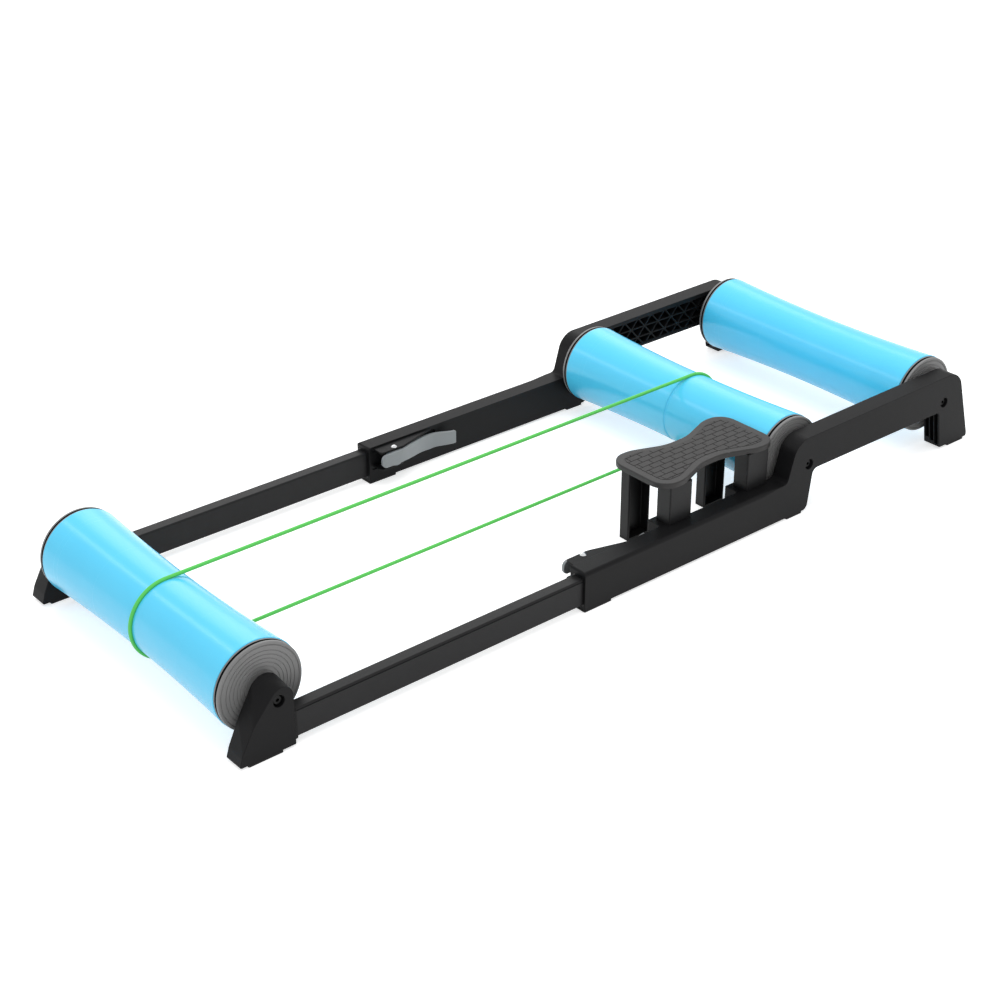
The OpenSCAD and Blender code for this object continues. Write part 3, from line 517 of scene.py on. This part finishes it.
def flip(piece):
    """Mirrors a piece's mesh to the other side of the middle plane."""
    edit(piece)
    bpy.ops.mesh.select_all(action="SELECT")
    bpy.ops.transform.mirror(constraint_axis=(False, True, False), center_override=(0, 0, 0))
    clean_shell()
    leave()


def mirror_copy(piece, name):
    """A copy of a piece on the other side of the middle plane, with its own mesh."""
    select_only(piece)
    bpy.ops.object.duplicate(linked=False)
    copy = bpy.context.object
    copy.name = name
    flip(copy)
    return copy


def finish(piece, material, body, slot, *nodes, angle=35.0):
    """Shades a piece, gives it its material and body, and hides the nodes it stands for. The slot
    is not used.
    """
    smooth_piece(piece, angle)
    modifier = piece.modifiers.new("flat_faces", "WEIGHTED_NORMAL")
    modifier.keep_sharp = True
    apply_modifiers(piece)
    piece.data.materials.clear()
    piece.data.materials.append(material)
    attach(piece, body)
    if nodes:
        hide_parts(*nodes)


def hub(name, radius, x, y, z0, z1, steps=48):
    """A round bar along Z in mm, drawn as a block."""
    turns = [math.radians(360 * i / steps) for i in range(steps)]
    return block(name, "Z", [(x + radius * math.cos(a), y + radius * math.sin(a), 0)
                             for a in turns], z0, z1)


def bolt_recess(name, x, z):
    """What an axle and its bolt take out of a frame: seat, bolt hole and head recess."""
    seat = rod(name, axle_seat_r, x, z, inner_y - 1, seat_end)
    return combine(seat, "UNION",
                   rod(name + "_hole", bolt_hole_r, x, z, seat_end - 1, recess_y + 1),
                   rod(name + "_head", recess_r, x, z, recess_y, outer_y + 1))


# Glass-filled nylon, black: a fine eroded grain of about 0.7 mm that breaks up a satin sheen.
frame_nylon = moulded("moulded_black_nylon", "#111112", "#171718", (0.4, 0.52), 0.0007,
                      0.00004, 0.12)

frame_corners = [
    (mouth_x, pad_h, 2), (leg_rear_x, pad_h, 9), (leg_rear_x + leg_lean, beam_bottom, 9),
    (heel_front_x - leg_lean - 2.5, beam_bottom, 5), (heel_front_x, pad_h, 2),
    (rear_x + heel_reach, pad_h, 2.5), (rear_x + heel_reach, pad_h + 6, 10),
    (rear_x + heel_reach - 33, rear_z + crown_h, 30), (middle_x - 26, middle_z + crown_h, 28),
    (shoulder_x, rail_top, 8), (mouth_x, rail_top, 3)]
side_frame = block("right_side_frame_moulding", "Y", frame_corners, inner_y, outer_y, 6.0)
lever_bay = box_corners(pin_x - 30, pin_x + 85, ear_z - 7, ear_top - slide_fit, 3)
combine(side_frame, "DIFFERENCE", block("lever_bay", "Y", lever_bay, inner_y - 1, inner_y + 2))


def ear(name, z, reach, back):
    """A clamp ear: a plate round the pin that runs out to reach, and back into the rail."""
    ear_front, ear_side = pin_x - 26, pin_y - 5.5
    return block(name, "Z", [
        (ear_front, inner_y + back, 0.4), (ear_front, ear_side, 5), (pin_x + 12, ear_side, 16),
        (pin_x + reach, inner_y - 0.5, 1), (pin_x + reach, inner_y + back, 0.4)], z, z + ear_t)


combine(side_frame, "UNION", ear("upper_ear", ear_top, 77, 1),
        ear("lower_ear", ear_z - ear_t, 30, 3))
combine(side_frame, "DIFFERENCE",
        block("channel", "X", tube_section(channel_play), mouth_x - 1, leg_rear_x + leg_lean + 10),
        block("liner_seat", "X", tube_section(liner_play), mouth_x - 1,
              mouth_x + liner_len + slide_fit),
        block("pad_window", "Y", box_corners(pin_x - window_w / 2, pin_x + window_w / 2,
                                             *window_z, 1), inner_y - 1, tube_y),
        bolt_recess("middle_seat", *axles["middle"]), bolt_recess("rear_seat", *axles["rear"]))


def pocket(inset):
    """The outline of the beam's open pocket, moved in by inset."""
    return box_corners(middle_x + 28 + inset, rear_x - 20 - inset,
                       beam_bottom + pocket_rim + inset,
                       middle_z + crown_h - pocket_rim - inset, 4 - inset)


combine(side_frame, "DIFFERENCE",
        block("pocket_mouth", "Y", pocket(0), inner_y - 1, inner_y + 1.2))
slot_w = (outer_y - inner_y - 2 * frame_wall - 2 * rib_t) / 3
for i in range(3):
    y0 = inner_y + frame_wall + i * (slot_w + rib_t)
    floor_z = pad_h + 11 - 3.5 * i
    combine(side_frame, "DIFFERENCE", block("heel_slot", "Y", [
        (heel_front_x - 20, floor_z, 1), (rear_x + heel_reach - 7, floor_z, 3),
        (rear_x + heel_reach - 22, beam_bottom, 3), (heel_front_x - 20, beam_bottom, 1)],
        y0, y0 + slot_w))

combine(side_frame, "DIFFERENCE", hub("pin_hole", pin_r + pin_fit, pin_x, pin_y,
                                      ear_z - ear_t - 1, ear_top + ear_t + 1, 24))
soften(side_frame, 0.7)

# Crossed ribs and two rows of links stand 1 mm behind the pocket's rim, on the outer web
rib_pitch, rib_rise, rib_z, rib_len, link_len = 29.0, 16.0, 96.0, 170, 300
rib_lean = math.atan2(rib_rise, rib_pitch / 2)
cells = block("rib_cells", "Y", pocket(0.8), inner_y + 1, outer_y - frame_wall)
bars = [(middle_x + 37 + rib_pitch * i, rib_z, lean, rib_len)
        for i in range(-3, 12) for lean in (-rib_lean, rib_lean)]
bars += [((middle_x + rear_x) / 2, z, 0, link_len) for z in (rib_z, rib_z - rib_rise)]
for x, z, lean, length in bars:
    bpy.ops.object.select_all(action="DESELECT")
    bpy.ops.mesh.primitive_cube_add(size=MM, location=spot("Y", x, z, inner_y + 14),
                                    rotation=(0, lean, 0), scale=(length, 40, rib_t))
    rib = bpy.context.object
    bpy.ops.object.transform_apply(location=True, rotation=True, scale=True)
    combine(cells, "DIFFERENCE", rib)

# The rail's long outer edge is rounded, and the rounding runs out before the shoulder
rail_edge, edge_end, run_out = 5.0, shoulder_x - 46, 38.0
edge_cutter = block("rail_edge", "X", [
    (outer_y - rail_edge, rail_top + 2, 0), (outer_y - rail_edge, rail_top, 0),
    (outer_y, rail_top, rail_edge * 0.98), (outer_y, rail_top - rail_edge, 0),
    (outer_y + 2, rail_top - rail_edge, 0), (outer_y + 2, rail_top + 2, 0)],
    mouth_x - 1, edge_end)
edit(edge_cutter)
pick("faces", lambda f: f.normal.x > 0.9)
bpy.ops.mesh.extrude_region_move(TRANSFORM_OT_translate={"value": (run_out * MM, 0, 0)})
bpy.ops.transform.resize(value=(1, 0.02, 0.02),
                         center_override=spot("X", outer_y, rail_top, edge_end + run_out))
clean_shell()
leave()
combine(side_frame, "DIFFERENCE", cells, edge_cutter)
left_frame = mirror_copy(side_frame, "left_side_frame_moulding")
finish(side_frame, frame_nylon, "rear_frame", "frame_black", "right_side_frame")
finish(left_frame, frame_nylon, "rear_frame", "frame_black", "left_side_frame")


# Mouth liners
# A black acetal sleeve is pressed into each rail's mouth, so that the slide tube doesn't rattle.

# Acetal, black: smoother than the frame, with a waxy sheen.
acetal = moulded("black_acetal", "#0E0E0F", "#131314", (0.3, 0.38), 0.0009, 0.00002, 0.35)
finish_node("mouth_liners", acetal)


# Front brackets
# Glass-filled nylon again: a tall crown that carries the front axle, a toe that reaches ahead of
# the roller, and a collar round the slide tube, which a screw holds.

bracket_back, bracket_rim = 19.5, 1.0
collar_end = front_x + bracket_back + 4.0
tube_front = front_x - 30
tube_screw_r, tube_screw_x, tube_screw_z = 2.55, front_x - 8, tube_z + tube_h / 2


def bracket_outline(r, top, flank, drop):
    """A toe, a flank that leans by an angle off upright, and a crown of radius r."""
    crown_x = bracket_back - r * (1 + math.tan(math.radians(90 - flank) / 2)) - 0.1
    return [(front_x - 57, pad_h, 2.5), (front_x + bracket_back, pad_h, 1.5),
            (front_x + bracket_back, top, r), (front_x + crown_x, top, r),
            (front_x + crown_x - drop * math.tan(math.radians(flank)), top - drop, 50),
            (front_x - 52.5, pad_h + 15, 25)]


# It narrows from its inner side to its outer face, so the two outlines are wrapped in one hull
bracket = block("right_bracket_moulding", "Y", bracket_outline(20.5, 93.4, 29.4, 43.4),
                inner_y, inner_y + bracket_rim, 6.0)
bracket_face = block("bracket_face", "Y", bracket_outline(15.5, 86.4, 41, 37),
                     outer_y - bracket_rim, outer_y, 6.0)
select_only(bracket)
bracket_face.select_set(True)
bpy.ops.object.join()
edit(bracket)
bpy.ops.mesh.select_all(action="SELECT")
bpy.ops.mesh.convex_hull()
clean_shell()
leave()
combine(bracket, "UNION",
        block("collar", "X", tube_section(2.7), front_x + bracket_back - 1, collar_end))
combine(bracket, "DIFFERENCE",
        block("tube_seat", "X", tube_section(slide_fit), tube_front - slide_fit, collar_end + 1),
        bolt_recess("front_seat", *axles["front"]),
        rod("screw_hole", tube_screw_r, tube_screw_x, tube_screw_z, inner_y - 1, tube_y))
soften(bracket, 0.9)
left_bracket = mirror_copy(bracket, "left_bracket_moulding")
finish(bracket, frame_nylon, "front_carriage", "frame_black", "right_front_bracket")
finish(left_bracket, frame_nylon, "front_carriage", "frame_black", "left_front_bracket")


# Slide tubes
# Rectangular aluminium extrusions with a black powder coat and a fine groove near the top of the
# outer side. A plug closes each rear end and guides it in the rail.

# Powder coat, black: a dielectric film with a soft orange-peel of about 1.5 mm and fine specks.
powder_coat = bpy.data.materials.new("black_powder_coat")
tree = emptied(powder_coat)
place = add(tree, "ShaderNodeTexCoord").outputs["Object"]
skin(tree, grain(tree, place, 0.02, 5.0), ("#171718", "#1F1F20"),
     grain(tree, place, 0.0015, 2.0), (0.36, 0.46), (0.35, 0.00005),
     {"IOR": 1.5, "Specular IOR Level": 0.18})

tube_rear, tube_wall = mouth_x + 150, 2.0
tube_side = tube_y + tube_w / 2
groove_z, groove_size = tube_z + tube_h - 3.5, 1.2
groove = box_corners(tube_side - groove_size, tube_side + 1, groove_z, groove_z + groove_size, 0)
tube = block("right_tube_extrusion", "X", tube_section(0), tube_front, tube_rear)
combine(tube, "DIFFERENCE",
        block("tube_bore", "X", tube_section(-tube_wall), tube_front - 1, tube_rear + 1),
        block("tube_groove", "X", groove, tube_front - 1, tube_rear + 1),
        rod("tube_screw_hole", tube_screw_r, tube_screw_x, tube_screw_z, inner_y, tube_y))
left_tube = mirror_copy(tube, "left_tube_extrusion")
finish(tube, powder_coat, "front_carriage", "tube_black", "right_slide_tube")
finish(left_tube, powder_coat, "front_carriage", "tube_black", "left_slide_tube")
finish_node("tube_end_plugs", acetal)
finish_node("bracket_screws", plain_steel)


# Clamp levers
# Each cam lever is a zinc casting in satin grey paint. It turns on a domed pin between the ears,
# and its eccentric hub presses a rubber pad against the slide tube through the rail's window.

lever_nose, lever_len, lever_t, lever_steps = 27.5, 111.0, 4.5, 44
cam_r, cam_throw, cam_angle = 10.5, 2.0, math.radians(70)


def ease(t):
    """A soft step from 0 to 1 as t goes from 0 to 1."""
    t = min(1.0, max(0.0, t))
    return t * t * (3 - 2 * t)


def lever_line(x):
    """The middle line of the lever's plate: from the pin out to the rail's face and back."""
    return -8 + 18 * ease(x / 70) - 11 * ease((x - 76) / 35)


def lever_half(x):
    """Half the plate's thickness, measured along Y where the plate leans."""
    return lever_t / 2 * math.hypot(1, lever_line(x + 0.5) - lever_line(x - 0.5))


places = [-lever_nose + (lever_nose + lever_len) * i / lever_steps
          for i in range(lever_steps + 1)]
plan = ([(pin_x + x, pin_y + lever_line(x) - lever_half(x), 0) for x in places]
        + [(pin_x + x, pin_y + lever_line(x) + lever_half(x), 0) for x in reversed(places)])
lever = block("right_lever_casting", "Z", plan, 10, rail_top)
combine(lever, "INTERSECT", block("lever_side", "Y", [
    (pin_x - lever_nose, 31, 8), (pin_x + 13.75, 31, 30), (pin_x + 68, 24, 30),
    (pin_x + lever_len, 26, 1.5), (pin_x + lever_len, 45.5, 1.5), (pin_x + 75, 47, 60),
    (pin_x + 27.5, 50.5, 60), (pin_x - lever_nose, 50.5, 8)], pin_y - 26, pin_y + 26, 5.0))
cam_x, cam_y = pin_x + cam_throw * math.cos(cam_angle), pin_y + cam_throw * math.sin(cam_angle)
combine(lever, "UNION", hub("cam", cam_r, cam_x, cam_y, ear_z + 0.3, ear_top - 0.7))
combine(lever, "DIFFERENCE", hub("cam_bore", pin_r + pin_fit, pin_x, pin_y, 10, rail_top))
soften(lever, 0.8, 3)
left_lever = mirror_copy(lever, "left_lever_casting")

# Satin paint on cast zinc, mid grey: a smooth film over a slightly uneven casting.
lever_paint = moulded("satin_grey_paint", "#83878A", "#8C9092", (0.3, 0.38), 0.0025, 0.00005)
finish(lever, lever_paint, "right_lever", "lever_grey", "right_cam_lever")
finish(left_lever, lever_paint, "left_lever", "lever_grey", "left_cam_lever")

# The pin: bright nickel-plated steel with a domed head, turned in one piece
bright_steel = bpy.data.materials.new("bright_nickel_plate")
tree = emptied(bright_steel)
polish = grain(tree, add(tree, "ShaderNodeTexCoord").outputs["Object"], 0.0006, 3.0)
skin(tree, polish, ("#D2D4D6", "#DDDFE0"), polish, (0.08, 0.2), None, {"Metallic": 1.0},
     (0.0, 1.0))

pin_top, pin_foot, pin_edge = ear_top + ear_t, ear_z - ear_t - 1, 0.4
head_r, head_h, dome_r = 4.5, 2.8, 5.58
dome_z = pin_top + head_h - dome_r
profile = [(0, pin_foot), (pin_r - pin_edge, pin_foot), (pin_r, pin_foot + pin_edge),
           (pin_r, pin_top), (head_r, pin_top)]
top_angle = math.degrees(math.acos(head_r / dome_r))
for i in range(9):
    a = math.radians(top_angle + (90 - top_angle) * i / 8)
    profile.append((dome_r * math.cos(a), dome_z + dome_r * math.sin(a)))
pin = draw_line("right_clamp_pin", [Vector((pin_x + r, pin_y, z)) * MM for r, z in profile], False)
bpy.ops.mesh.select_all(action="SELECT")
bpy.ops.mesh.spin(steps=40, angle=2 * math.pi, center=(pin_x * MM, pin_y * MM, 0), axis=(0, 0, 1))
clean_shell()
leave()
left_pin = mirror_copy(pin, "left_clamp_pin")
finish(pin, bright_steel, "rear_frame", "bright_steel", "cam_pins")
finish(left_pin, bright_steel, "rear_frame", "bright_steel")

# Nitrile rubber, black: matt, with a faint bloom.
rubber = moulded("black_nitrile_rubber", "#111111", "#171717", (0.62, 0.75), 0.001, 0.00006, 0.3)
for node in ("left_clamp_pad", "right_clamp_pad"):
    finish_node(node, rubber)


# Foot pads
# Flat rubber pads are glued below the brackets, the rail's mouths, the middle legs and the heels.

feet = {
    "front": (front_x - 45, front_x + 2, "front_carriage"),
    "mouth": (mouth_x, mouth_x + 47, "rear_frame"),
    "middle": (middle_x - 39, middle_x - 8, "rear_frame"),
    "rear": (rear_x + heel_reach - 44, rear_x + heel_reach - 7, "rear_frame")}
for name, (x0, x1, body) in feet.items():
    pad = block(name + "_right_foot_pad", "Z", box_corners(x0, x1, inner_y, outer_y, 2), 0, pad_h)
    soften(pad, 0.5)
    left_pad = mirror_copy(pad, name + "_left_foot_pad")
    finish(pad, rubber, body, "foot_rubber", name + "_feet")
    finish(left_pad, rubber, body, "foot_rubber")


# Step legs
# Two welded frames of black-coated steel: a closed near leg, a far leg that is open towards it,
# and a bar across below the plate. They stand on rubber and are screwed to sockets on the rail.

leg_w, leg_wall, leg_lap = 40.0, 3.0, 7.6
leg_x = {"front": 40.85, "rear": 186.85}
leg_y1 = inner_y
leg_y0 = leg_y1 - 18
far_y1 = leg_y0 - 52
far_y0 = far_y1 - 17
step_x = (leg_x["front"] + leg_x["rear"] + leg_w) / 2
step_y = (leg_y1 + far_y0) / 2
step_top, step_t = 120.0, 7.5
plate_bottom = step_top - step_t
bar_bottom = plate_bottom - 8
step_screw_r, plate_screw_off, socket_screw_z = 2.05, 12, 44

# Steel, coated black: a thin even film, half matt, over a surface that is slightly uneven.
leg_coat = moulded("black_coated_steel", "#121213", "#19191A", (0.36, 0.46), 0.0014, 0.00003,
                   0.22)


def near_leg(name, x, y1, z0, z1):
    """A length of near leg from the step's side to y1, open at both ends."""
    leg = block(name, "Z", box_corners(x, x + leg_w, leg_y0, y1, 2), z0, z1)
    return combine(leg, "DIFFERENCE", block(name + "_bore", "Z", box_corners(
        x + leg_wall, x + leg_w - leg_wall, leg_y0 + leg_wall, y1 - leg_wall, 1), z0 - 1, z1 + 1))


# Above the rail the near leg is deeper, and that part of it stands on the rail's top
for name, x in leg_x.items():
    middle = x + leg_w / 2
    leg = near_leg(name + "_leg_frame", x, leg_y1, pad_h, rail_top + 1)
    combine(leg, "UNION", near_leg("leg_lap", x, leg_y1 + leg_lap, rail_top, plate_bottom))
    far = block("far_leg", "Z", box_corners(x, x + leg_w, far_y0, far_y1, 2),
                pad_h, plate_bottom)
    combine(far, "DIFFERENCE", block("far_bore", "Z", box_corners(
        x + leg_wall, x + leg_w - leg_wall, far_y0 + leg_wall, far_y1 + 5, 1),
        pad_h - 1, bar_bottom))
    bar = block("leg_bar", "Z", box_corners(x, x + leg_w, far_y0, leg_y1 + leg_lap, 2),
                bar_bottom, plate_bottom)
    combine(leg, "UNION", far, bar)
    for y in (step_y - plate_screw_off, step_y + plate_screw_off):
        combine(leg, "DIFFERENCE", hub("plate_screw_hole", step_screw_r, middle, y,
                                       bar_bottom - 1, plate_bottom + 1))
    combine(leg, "DIFFERENCE", rod("socket_screw_hole", step_screw_r, middle, socket_screw_z,
                                   leg_y0 - 1, leg_y1 + 1))
    soften(leg, 0.5)
    flip(leg)
    finish(leg, leg_coat, "rear_frame", "leg_black", "step_%s_legs" % name)


# Step sockets and screws
# Moulded sockets lap the near legs on the rail's inner side; screws hold them and the plate.

socket_z, socket_wall = 31, 5.4
for name, x in leg_x.items():
    socket = block(name + "_step_socket", "Z", box_corners(
        x - 10, x + leg_w, leg_y0 - socket_wall, inner_y, 2), socket_z, rail_top)
    combine(socket, "DIFFERENCE",
            block("socket_bay", "Z", box_corners(
                x - slide_fit, x + leg_w + 5, leg_y0 - slide_fit, inner_y + 5, 1),
                socket_z - 1, rail_top + 1),
            rod("socket_hole", step_screw_r, x + leg_w / 2, socket_screw_z,
                leg_y0 - 10, leg_y0 + 1))
    soften(socket, 0.6)
    flip(socket)
    finish(socket, frame_nylon, "rear_frame", "frame_black",
           *(("step_sockets",) if name == "front" else ()))
for node in ("socket_screws", "plate_screws"):
    finish_node(node, plain_steel)
finish_node("step_feet", rubber)


# Step plate and tread
# The plate is a waisted moulding with a plain rounded border. A thin rubber tread is glued into its
# shallow recess, cut in brick courses 10.9 mm apart.

plate_half, plate_side, waist_side = 108, 54, 34.75
waist_start, waist_end = 70, 20
bay_depth = 1.2


def plate_corners(inset=0.0):
    """The plate's outline, moved in by inset; x and y are mirrored from one quarter."""
    slant = math.atan2(plate_side - waist_side, waist_start - waist_end)
    turn_in = inset * math.tan(slant / 2)
    quarter = [(plate_half - inset, plate_side - inset, 26 - inset),
               (waist_start - turn_in, plate_side - inset, 40 - inset),
               (waist_end - turn_in, waist_side - inset, 60 + inset)]
    back = quarter[::-1]
    full = (quarter + [(-x, y, r) for x, y, r in back] + [(-x, -y, r) for x, y, r in quarter]
            + [(x, -y, r) for x, y, r in back])
    return [(x + step_x, y - step_y, r) for x, y, r in full]


plate = block("step_plate_moulding", "Z", plate_corners(), plate_bottom, step_top, 5.0)
combine(plate, "DIFFERENCE", block("tread_bay", "Z", plate_corners(12.0), step_top - bay_depth,
                                   step_top + 1, 5.0))

# The border's outer edge is rounded first: the edges between the plate's top and its flank
edit(plate)
pick("edges", lambda e: all(abs(v.co.z - step_top * MM) < 1e-6 for v in e.verts)
     and any(len(f.verts) > 8 and abs(f.normal.z) > 0.9 for f in e.link_faces)
     and any(abs(f.normal.z) < 0.1 and f.calc_center_median().z < (step_top - 2) * MM
             for f in e.link_faces))
bpy.ops.mesh.bevel(offset=1.8 * MM, segments=4, affect="EDGES")
leave()
soften(plate, 0.5, 2, 40.0)

# Moulded ABS, dark grey: nearly the caps' eroded grain, with a weaker sheen.
step_abs = moulded("moulded_dark_grey_abs", "#2B2A2A", "#323131", (0.4, 0.5), 0.0007, 0.00004,
                   0.3)
finish(plate, step_abs, "rear_frame", "step_grey", "step_plate")

# A joint's groove is cut a little less deep than a row's, so that their floors never coincide
brick_w, brick_len, half_groove, row_depth, joint_depth = 10.9, 20.0, 0.5, 0.5, 0.45
tread = block("step_tread_sheet", "Z", plate_corners(12.3), step_top - bay_depth,
              step_top + 0.3, 5.0)
for row in range(-5, 7):
    y = -step_y + (row - 0.5) * brick_w
    combine(tread, "DIFFERENCE", block("row_groove", "Z", box_corners(
        step_x - 110, step_x + 110, y - half_groove, y + half_groove, 0),
        step_top - row_depth, step_top + 1))
for row in range(-5, 6):
    for column in range(-6, 7):
        x = step_x + (column + (0 if row % 2 == 0 else 0.5)) * brick_len
        y = -step_y + (row - 0.5) * brick_w
        combine(tread, "DIFFERENCE", block("joint_groove", "Z", box_corners(
            x - half_groove, x + half_groove, y, y + brick_w, 0),
            step_top - joint_depth, step_top + 1.1))
soften(tread, 0.2, 1, 40.0)

# Tread rubber, dark grey: matt, with fine pits.
tread_rubber = moulded("dark_grey_tread_rubber", "#343333", "#3B3A3A", (0.5, 0.62), 0.0008,
                       0.00006, 0.3)
finish(tread, tread_rubber, "rear_frame", "tread_grey", "step_tread")


# Drive belt
# An endless round belt of green polyurethane, welded from 5 mm cord. It runs in the grooves of the
# front and the middle roller, and lengthens with the frame when the carriage slides.

# Cast polyurethane, green: slightly translucent and half glossy, with a faint extrusion grain.
belt_pu = moulded("green_polyurethane", "#57CB57", "#60D261", (0.34, 0.44), 0.0012, 0.00002, 0.4)
run_steps, turn_steps = 40, 36
front_axle = Vector((front_x, belt_y, front_z)) * MM
middle_axle = Vector((middle_x, belt_y, middle_z)) * MM
span = (middle_axle - front_axle).length
run = (middle_axle - front_axle).normalized()
up = Vector((-run.z, 0, run.x))
bpy.ops.object.select_all(action="DESELECT")
start = front_axle + up * belt_path_r * MM
bpy.ops.mesh.primitive_circle_add(vertices=20, radius=belt_r * MM, location=start,
                                  rotation=(0, math.pi / 2 - math.atan2(run.z, run.x), 0))
belt = bpy.context.object
belt.name = "round_drive_belt"
bpy.ops.object.transform_apply(location=True, rotation=True, scale=True)
edit(belt)
bpy.ops.mesh.select_mode(type="VERT")
bpy.ops.mesh.select_all(action="SELECT")
for way, centre in ((run, middle_axle), (-run, front_axle)):
    for _ in range(run_steps):
        bpy.ops.mesh.extrude_region_move(
            TRANSFORM_OT_translate={"value": way * span / run_steps})
    bpy.ops.mesh.spin(steps=turn_steps, angle=math.pi, center=centre, axis=(0, -1, 0))
clean_shell()
leave()
smooth_piece(belt, 60)
belt.data.materials.append(belt_pu)
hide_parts("drive_belt")
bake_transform(belt)
